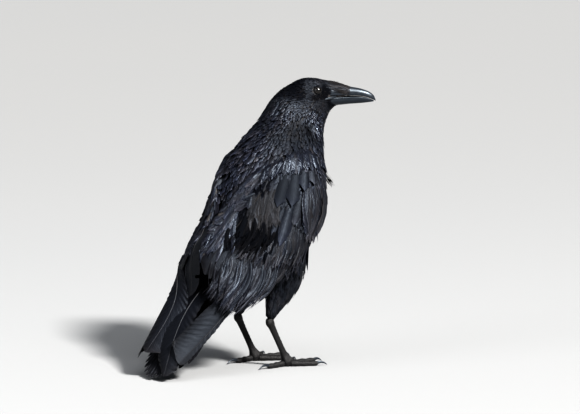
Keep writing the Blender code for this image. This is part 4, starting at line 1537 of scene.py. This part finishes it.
# share of the way from ankle to foot, radius fore and aft, radius across
TARSUS_SECTIONS = [
    (-0.09, 4.2, 4.0),
    (0.0, 6.4, 5.6),
    (0.14, 5.0, 4.3),
    (0.5, 4.5, 3.8),
    (0.82, 5.0, 4.6),
    (1.0, 8.0, 8.6),
    (1.1, 6.0, 6.6),
]
# name, degrees outwards from straight ahead, length, where it starts across the foot
TOES = [
    ("inner_toe", -30, 34, -4.5),
    ("middle_toe", 0, 48, 0.0),
    ("outer_toe", 30, 37, 4.5),
    ("hind_toe", 180, 31, 0.0),
]
TOE_START = 3.0
TOE_SECTIONS = [(0, 3.2), (0.2, 4.2), (0.38, 3.6), (0.52, 4.4), (0.68, 3.5), (0.85, 4.1), (1, 2.8)]


def scute(phase):
    """The profile of overlapping scales: each rises slowly and drops at its edge."""
    saw = phase % 1.0
    return saw**1.5 * (1 - smoothstep(0.86, 1.0, saw))


def tube_grid(path, tall, wide, around, relief):
    """Rings round a path in the upright plane. relief(turn, ring) is added to the radius."""
    ahead = unit(np.gradient(path, axis=0))
    across = unit(np.cross(UPWARD, ahead))
    upright = np.cross(ahead, across)
    turn = circle(around)
    grid = []
    for i, spot in enumerate(path):
        more = relief(turn, i)
        grid.append(
            spot
            + upright[i] * ((tall[i] + more) * np.cos(turn))[:, None]
            + across[i] * ((wide[i] + more) * np.sin(turn))[:, None]
        )
    return np.array(grid)


CLAW_RADIUS = 2.3
TOE_CLEARANCE = 0.02  # how near the floor toes and claws come


def build_claw(name, tip, ahead, length, steps=26):
    """A claw that curves down from the tip of its toe."""
    spots, sizes = [tip - ahead * 2 + UPWARD * 0.2], [CLAW_RADIUS]
    for k in range(steps):
        lean = math.radians(28 - 74 * (k + 0.5) / steps)
        spots.append(spots[-1] + (ahead * math.cos(lean) + UPWARD * math.sin(lean)) * (length / steps))
        sizes.append(CLAW_RADIUS * (1 - (k + 1) / steps) ** 0.75 + 0.25)
    spots, sizes = np.array(spots), np.array(sizes)
    grid = tube_grid(spots, sizes, sizes * 0.8, 20, lambda turn, i: -0.25 * np.clip(-np.cos(turn), 0, 1) ** 3)
    grid[..., 2] = np.maximum(grid[..., 2], TOE_CLEARANCE)
    return ring_object(name, grid)


def build_leg(side, suffix):
    """The bare leg: a scaled tarsus, four toes with scales above and pads below, four claws."""
    across = np.array([0.0, side * LEG_OFFSET, 0.0])
    rows = resampled(TARSUS_SECTIONS, 90)
    path = ANKLE + (FOOT - ANKLE) * rows[:, :1] + across

    def plates(turn, i):
        # the path runs down, so "upright" is the leg's front; scutes there, smooth behind
        front = np.clip(np.cos(turn), 0, 1) ** 0.5
        back = np.clip(-np.cos(turn), 0, 1)
        ridge = np.exp(-((np.abs(np.sin(turn)) - 0.9) / 0.12) ** 2)
        return 0.42 * scute(np.array(rows[i, 0] * 11.0)) * front - 0.25 * ridge + 0.12 * back - 0.25

    pieces_here = [ring_object("tarsus_scales" + suffix, tube_grid(path, rows[:, 1], rows[:, 2], 40, plates))]
    claws = []
    for name, degrees, length, start in TOES:
        turned = math.radians(degrees) * side
        ahead = np.array([math.cos(turned), math.sin(turned), 0.0])
        root = np.array([FOOT[0], side * (LEG_OFFSET + start), 0.0]) + ahead * TOE_START
        sections = resampled(TOE_SECTIONS, 72)
        share, radius = sections[:, 0], sections[:, 1]
        height = 3.2 + 1.8 * (1 - share) ** 2
        path = root + ahead * (length * share)[:, None] + UPWARD * height[:, None]
        scales = length / 3.4

        def toe_relief(turn, i, scales=scales, share=share):
            top = np.clip(np.cos(turn), 0, 1) ** 0.6
            under = np.clip(-np.cos(turn), 0, 1)
            pads = 0.25 * np.sin(turn * 9 + share[i] * 60) * np.sin(share[i] * 90)
            return 0.34 * scute(np.array(share[i] * scales)) * top + under * pads * 0.4 - 0.2

        grid = tube_grid(path, radius, radius * 0.95, 28, toe_relief)
        grid[..., 2] = np.maximum(grid[..., 2], TOE_CLEARANCE)
        pieces_here.append(ring_object(name + "_scales" + suffix, grid))
        claw_length = 21.0 if name == "hind_toe" else 17.0
        claws.append(build_claw(name.replace("toe", "claw") + "_horn" + suffix, path[-1], ahead, claw_length))
    return pieces_here, claws


legs = []
for side, suffix in SIDES:
    legs.append((suffix, *build_leg(side, suffix)))


# ---------------------------------------------------------------- finishes


class Shader:
    """A node material being put together."""

    def __init__(self, name):
        self.material = bpy.data.materials.new(name)
        self.material.use_nodes = True
        self.tree = self.material.node_tree
        self.main = self.tree.nodes["Principled BSDF"]

    def node(self, kind, inputs=(), **settings):
        made = self.tree.nodes.new(kind)
        for key, value in settings.items():
            setattr(made, key, value)
        for key, value in dict(inputs).items():
            self.join(value, made.inputs[key])
        return made

    def join(self, value, socket):
        """Link a socket to the one whose value it takes, or set it."""
        if isinstance(value, bpy.types.NodeSocket):
            self.tree.links.new(value, socket)
        else:
            socket.default_value = value

    def mapped(self, vector, **settings):
        """A vector turned or stretched."""
        return self.node("ShaderNodeMapping", {"Vector": vector, **settings}).outputs[0]

    def mix(self, factor, a, b):
        """A colour between two colours, or sockets that give them."""
        made = self.node("ShaderNodeMix", data_type="RGBA")
        for index, value in ((0, factor), (6, a), (7, b)):
            self.join(value, made.inputs[index])
        return made.outputs[2]

    def math(self, operation, a, b=0.0):
        return self.node("ShaderNodeMath", {0: a, 1: b}, operation=operation).outputs[0]

    def ramp(self, value, low, high, to_low=0.0, to_high=1.0):
        inputs = {"Value": value, "From Min": low, "From Max": high, "To Min": to_low, "To Max": to_high}
        return self.node("ShaderNodeMapRange", inputs).outputs["Result"]

    def noise(self, scale, detail=3.0, vector=None, rough=0.6):
        inputs = {"Scale": scale, "Detail": detail, "Roughness": rough}
        if vector is not None:
            inputs["Vector"] = vector
        return self.node("ShaderNodeTexNoise", inputs).outputs["Fac"]

    def bump(self, height, strength, distance, normal=None):
        inputs = {"Height": height, "Strength": strength, "Distance": distance}
        if normal is not None:
            inputs["Normal"] = normal
        return self.node("ShaderNodeBump", inputs).outputs["Normal"]

    def scaled(self, colour, factor):
        """A colour multiplied by a value."""
        inputs = {0: colour, "Scale": factor}
        return self.node("ShaderNodeVectorMath", inputs, operation="SCALE").outputs["Vector"]

    def set(self, **values):
        for key, value in values.items():
            self.join(value, self.main.inputs[key.replace("_", " ")])


def feather_finish(name, rough, barb_bump, coarse, gloss=0.26):
    """Barbs slant out from the shaft: fine lines, gathered in clumps; the tint comes with the mesh."""
    shader = Shader(name)
    given = shader.node("ShaderNodeAttribute", attribute_name="Tint")
    tint = given.outputs["Color"]
    rougher = shader.math("ADD", given.outputs["Alpha"], rough)
    place = shader.node("ShaderNodeUVMap", uv_map="Vane").outputs["UV"]
    clumps = shader.noise(1.0, 2.0, shader.mapped(place, Scale=(0.9, coarse, 1.0)))
    fine = shader.noise(1.0, 1.0, shader.mapped(place, Scale=(1.6, 26.0, 1.0)))
    blotch = shader.noise(55.0, 2.0)
    streaks = shader.ramp(clumps, 0.3, 0.7, 0.72, 1.3)
    tone = shader.math("MULTIPLY", streaks, shader.ramp(blotch, 0.3, 0.7, 0.85, 1.15))
    normal = shader.bump(clumps, 0.9, barb_bump)
    normal = shader.bump(fine, 0.5, barb_bump * 0.35, normal)
    shader.set(
        Base_Color=shader.scaled(tint, tone),
        Roughness=shader.math("ADD", rougher, shader.ramp(clumps, 0.3, 0.7, -0.05, 0.07)),
        Normal=normal,
        Specular_IOR_Level=gloss,
        Specular_Tint=(0.74, 0.85, 1.0, 1.0),
    )
    return shader.material


def skin_finish():
    shader = Shader("skin_grey")
    mottle = shader.noise(140.0, 4.0)
    shader.set(Base_Color=shader.mix(mottle, (0.010, 0.009, 0.010, 1), (0.022, 0.019, 0.019, 1)))
    shader.set(Roughness=0.7, Normal=shader.bump(mottle, 0.6, 0.0004))
    return shader.material


def horn_finish(name, rough):
    """Dark horn with fine lines along it, paler where it is scuffed."""
    shader = Shader(name)
    place = shader.node("ShaderNodeTexCoord").outputs["Object"]
    turned = shader.mapped(place, Rotation=(0, 0, -HEAD_YAW))
    lines = shader.noise(1.0, 4.0, shader.mapped(turned, Scale=(60.0, 700.0, 700.0)))
    scuff = shader.noise(220.0, 5.0, place)
    base = shader.mix(shader.ramp(lines, 0.35, 0.7), (0.008, 0.010, 0.013, 1), (0.015, 0.017, 0.021, 1))
    base = shader.mix(shader.ramp(scuff, 0.60, 0.75, 0.0, 0.4), base, (0.032, 0.033, 0.036, 1))
    normal = shader.bump(lines, 0.2, 0.0002)
    normal = shader.bump(scuff, 0.3, 0.0002, normal)
    shader.set(Base_Color=base, Roughness=shader.ramp(scuff, 0.3, 0.7, rough, rough + 0.18), Normal=normal)
    shader.set(Specular_IOR_Level=0.4, Specular_Tint=(0.80, 0.90, 1.0, 1.0))
    return shader.material


def scale_finish():
    shader = Shader("scaled_leg")
    voronoi = shader.node("ShaderNodeTexVoronoi", {"Scale": 900.0}, feature="DISTANCE_TO_EDGE")
    cells = voronoi.outputs["Distance"]
    dust = shader.noise(160.0, 5.0)
    base = shader.mix(shader.ramp(dust, 0.4, 0.7), (0.005, 0.005, 0.006, 1), (0.014, 0.013, 0.012, 1))
    normal = shader.bump(shader.ramp(cells, 0.0, 0.12), 0.5, 0.0002)
    shader.set(Base_Color=base, Roughness=shader.ramp(dust, 0.3, 0.7, 0.4, 0.62), Normal=normal)
    shader.set(Specular_IOR_Level=0.3)
    return shader.material


def eye_finish():
    shader = Shader("eye_gloss")
    tint = shader.node("ShaderNodeAttribute", attribute_name="Tint").outputs["Color"]
    fleck = shader.noise(2200.0, 3.0)
    shader.set(
        Base_Color=shader.scaled(tint, shader.ramp(fleck, 0.3, 0.7, 0.6, 1.5)),
        Roughness=0.25,
        Specular_IOR_Level=0.05,
        Coat_Weight=1.0,
        Coat_Roughness=0.17,
    )
    return shader.material


def lid_finish():
    shader = Shader("lid_skin")
    grain = shader.noise(1600.0, 4.0)
    base = shader.mix(shader.ramp(grain, 0.35, 0.65), (0.003, 0.003, 0.004, 1), (0.009, 0.009, 0.010, 1))
    shader.set(Base_Color=base, Specular_IOR_Level=0.3, Roughness=0.5, Normal=shader.bump(grain, 0.5, 0.0002))
    return shader.material


def finish_piece(obj, finish, slot, *nodes):
    obj.data.materials.clear()
    obj.data.materials.append(finish)
    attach(obj, "root")
    if nodes:
        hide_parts(*nodes)


soft = feather_finish("contour_feathers", 0.0, 0.0005, 7.0)
stiff = feather_finish("flight_vanes", -0.04, 0.0004, 9.0)
loose = feather_finish("loose_plumes", 0.02, 0.0008, 5.0)
velvet = feather_finish("velvet_feathers", 0.0, 0.0005, 7.0, 0.08)
horn = horn_finish("bill_horn", 0.26)
claw_horn = horn_finish("claw_horn", 0.30)
scaled = scale_finish()
bare = skin_finish()
wet = eye_finish()
lid_skin = lid_finish()

LOOSE = ("flank", "upper_flank", "front", "brown", "body", "breast")


def feather_kind(name):
    """The finish and the slot of a piece of feathers."""
    flight = "quills" in name or "coverts" in name or "scapulars" in name
    finish = soft
    if flight:
        finish = stiff
    elif name.startswith(LOOSE):
        finish = loose
    # the plumes of painted shade in the hollow take the velvet finish as well
    if "velvet" in name or name.startswith("dark"):
        finish = velvet
    return finish, "flight_feathers" if flight else "plumage"


finish_piece(skin, bare, "plumage", *FLESH)
for piece in pieces:
    finish_piece(piece, *feather_kind(piece.name))
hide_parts("primaries_left")
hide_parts("primaries_right")
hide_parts("tail")
finish_piece(upper_bill, horn, "horn", "upper_bill")
finish_piece(lower_bill, horn, "horn", "lower_bill")
for lip in gapes:
    finish_piece(lip, horn, "horn")
for ball, suffix in eyes:
    finish_piece(ball, wet, "eye", "eye" + suffix)
for lid in lids:
    finish_piece(lid, lid_skin, "scaled_skin")
for suffix, bare_parts, claws in legs:
    for part in bare_parts:
        finish_piece(part, scaled, "scaled_skin", part.name.replace("_scales", ""))
    for claw in claws:
        finish_piece(claw, claw_horn, "horn", claw.name.replace("_horn", ""))
bpy.data.objects.remove(outline)


# ---------------------------------------------------------------- floor, light and camera

# the camera stands behind the bird's right side and looks down a little
TURN = math.radians(42)
TILT = math.radians(7)
RIGHT = np.array([math.cos(TURN), -math.sin(TURN), 0.0])
BACK = np.array([-math.sin(TURN) * math.cos(TILT), -math.cos(TURN) * math.cos(TILT), math.sin(TILT)])
ABOVE = np.cross(BACK, RIGHT)
AIM = RIGHT * 31.74 + ABOVE * 216.66
CAMERA_DISTANCE = 6.0  # in metres
CAMERA_LENS = 269.8
FLOOR_HALF = 9.0  # in metres
AMBIENT, BACKDROP = 0.13, 0.52  # how bright the world is to the bird, and to the camera


def placed(points):
    return Vector(np.asarray(points) * MM + ORIGIN)


def build_floor():
    mesh = bpy.data.meshes.new("floor")
    with editing(mesh) as bm:
        bmesh.ops.create_grid(bm, x_segments=24, y_segments=24, size=FLOOR_HALF)
    floor = linked_object("floor", mesh)
    shader = Shader("floor_pale")
    grain = shader.noise(3.0, 3.0)
    pale = shader.mix(grain, (0.25, 0.255, 0.26, 1), (0.265, 0.265, 0.265, 1))
    shader.set(Base_Color=pale, Roughness=0.9)
    floor.data.materials.append(shader.material)


def aim_along(obj, way):
    """Turn a light or a camera so that it looks along a direction."""
    obj.rotation_mode = "QUATERNION"
    obj.rotation_quaternion = way.to_track_quat("-Z", "Y")


def light_way(way):
    """A direction in the frame from right, up and back as the camera sees them."""
    return unit(RIGHT * way[0] + UPWARD * way[1] + unit(BACK * np.array([1, 1, 0])) * way[2])


def sun_light(name, way, strength, spread, colour):
    """Even light from far off, its shadows softened by an apparent size in degrees."""
    light = bpy.data.lights.new(name, "SUN")
    light.energy = strength
    light.angle = math.radians(spread)
    light.color = colour
    obj = linked_object(name, light)
    aim_along(obj, -Vector(light_way(way)))


def area_light(name, way, far, size, watts):
    """A square light that shines on the bird from a direction given as right, up and back."""
    light = bpy.data.lights.new(name, "AREA")
    light.shape = "SQUARE"
    light.size = size
    light.energy = watts
    obj = linked_object(name, light)
    out = light_way(way)
    aim = placed([0, 0, 210])
    obj.location = aim + Vector(out) * far
    aim_along(obj, aim - obj.location)


def build_camera():
    camera = bpy.data.cameras.new("camera")
    camera.sensor_width = 36.0
    camera.lens = CAMERA_LENS
    camera.clip_end = 60.0
    obj = linked_object("camera", camera)
    aim = placed(AIM)
    obj.location = aim + Vector(BACK) * CAMERA_DISTANCE
    aim_along(obj, -Vector(BACK))
    bpy.context.scene.camera = obj


def build_world():
    world = bpy.data.worlds.new("studio")
    world.use_nodes = True
    tree = world.node_tree
    shade = tree.nodes["Background"]
    shade.inputs["Color"].default_value = (0.86, 0.91, 1.0, 1.0)
    rays = tree.nodes.new("ShaderNodeLightPath")
    seen = tree.nodes.new("ShaderNodeMapRange")
    seen.inputs["To Min"].default_value = AMBIENT
    seen.inputs["To Max"].default_value = BACKDROP
    tree.links.new(rays.outputs["Is Camera Ray"], seen.inputs["Value"])
    tree.links.new(seen.outputs["Result"], shade.inputs["Strength"])
    bpy.context.scene.world = world
    bpy.context.scene.view_settings.view_transform = "Standard"
    bpy.context.scene.view_settings.look = "High Contrast"
    bpy.context.scene.view_settings.exposure = 0.4


build_floor()
build_world()
build_camera()
sun_light("key", (0.50, 0.66, 0.62), 6.6, 9.0, (1.0, 0.98, 0.95))
area_light("fill", (-1.0, 0.6, 0.8), 3.0, 1.6, 22)
area_light("side", (0.35, 1.0, 0.55), 3.0, 2.2, 45)

bpy.context.view_layer.update()
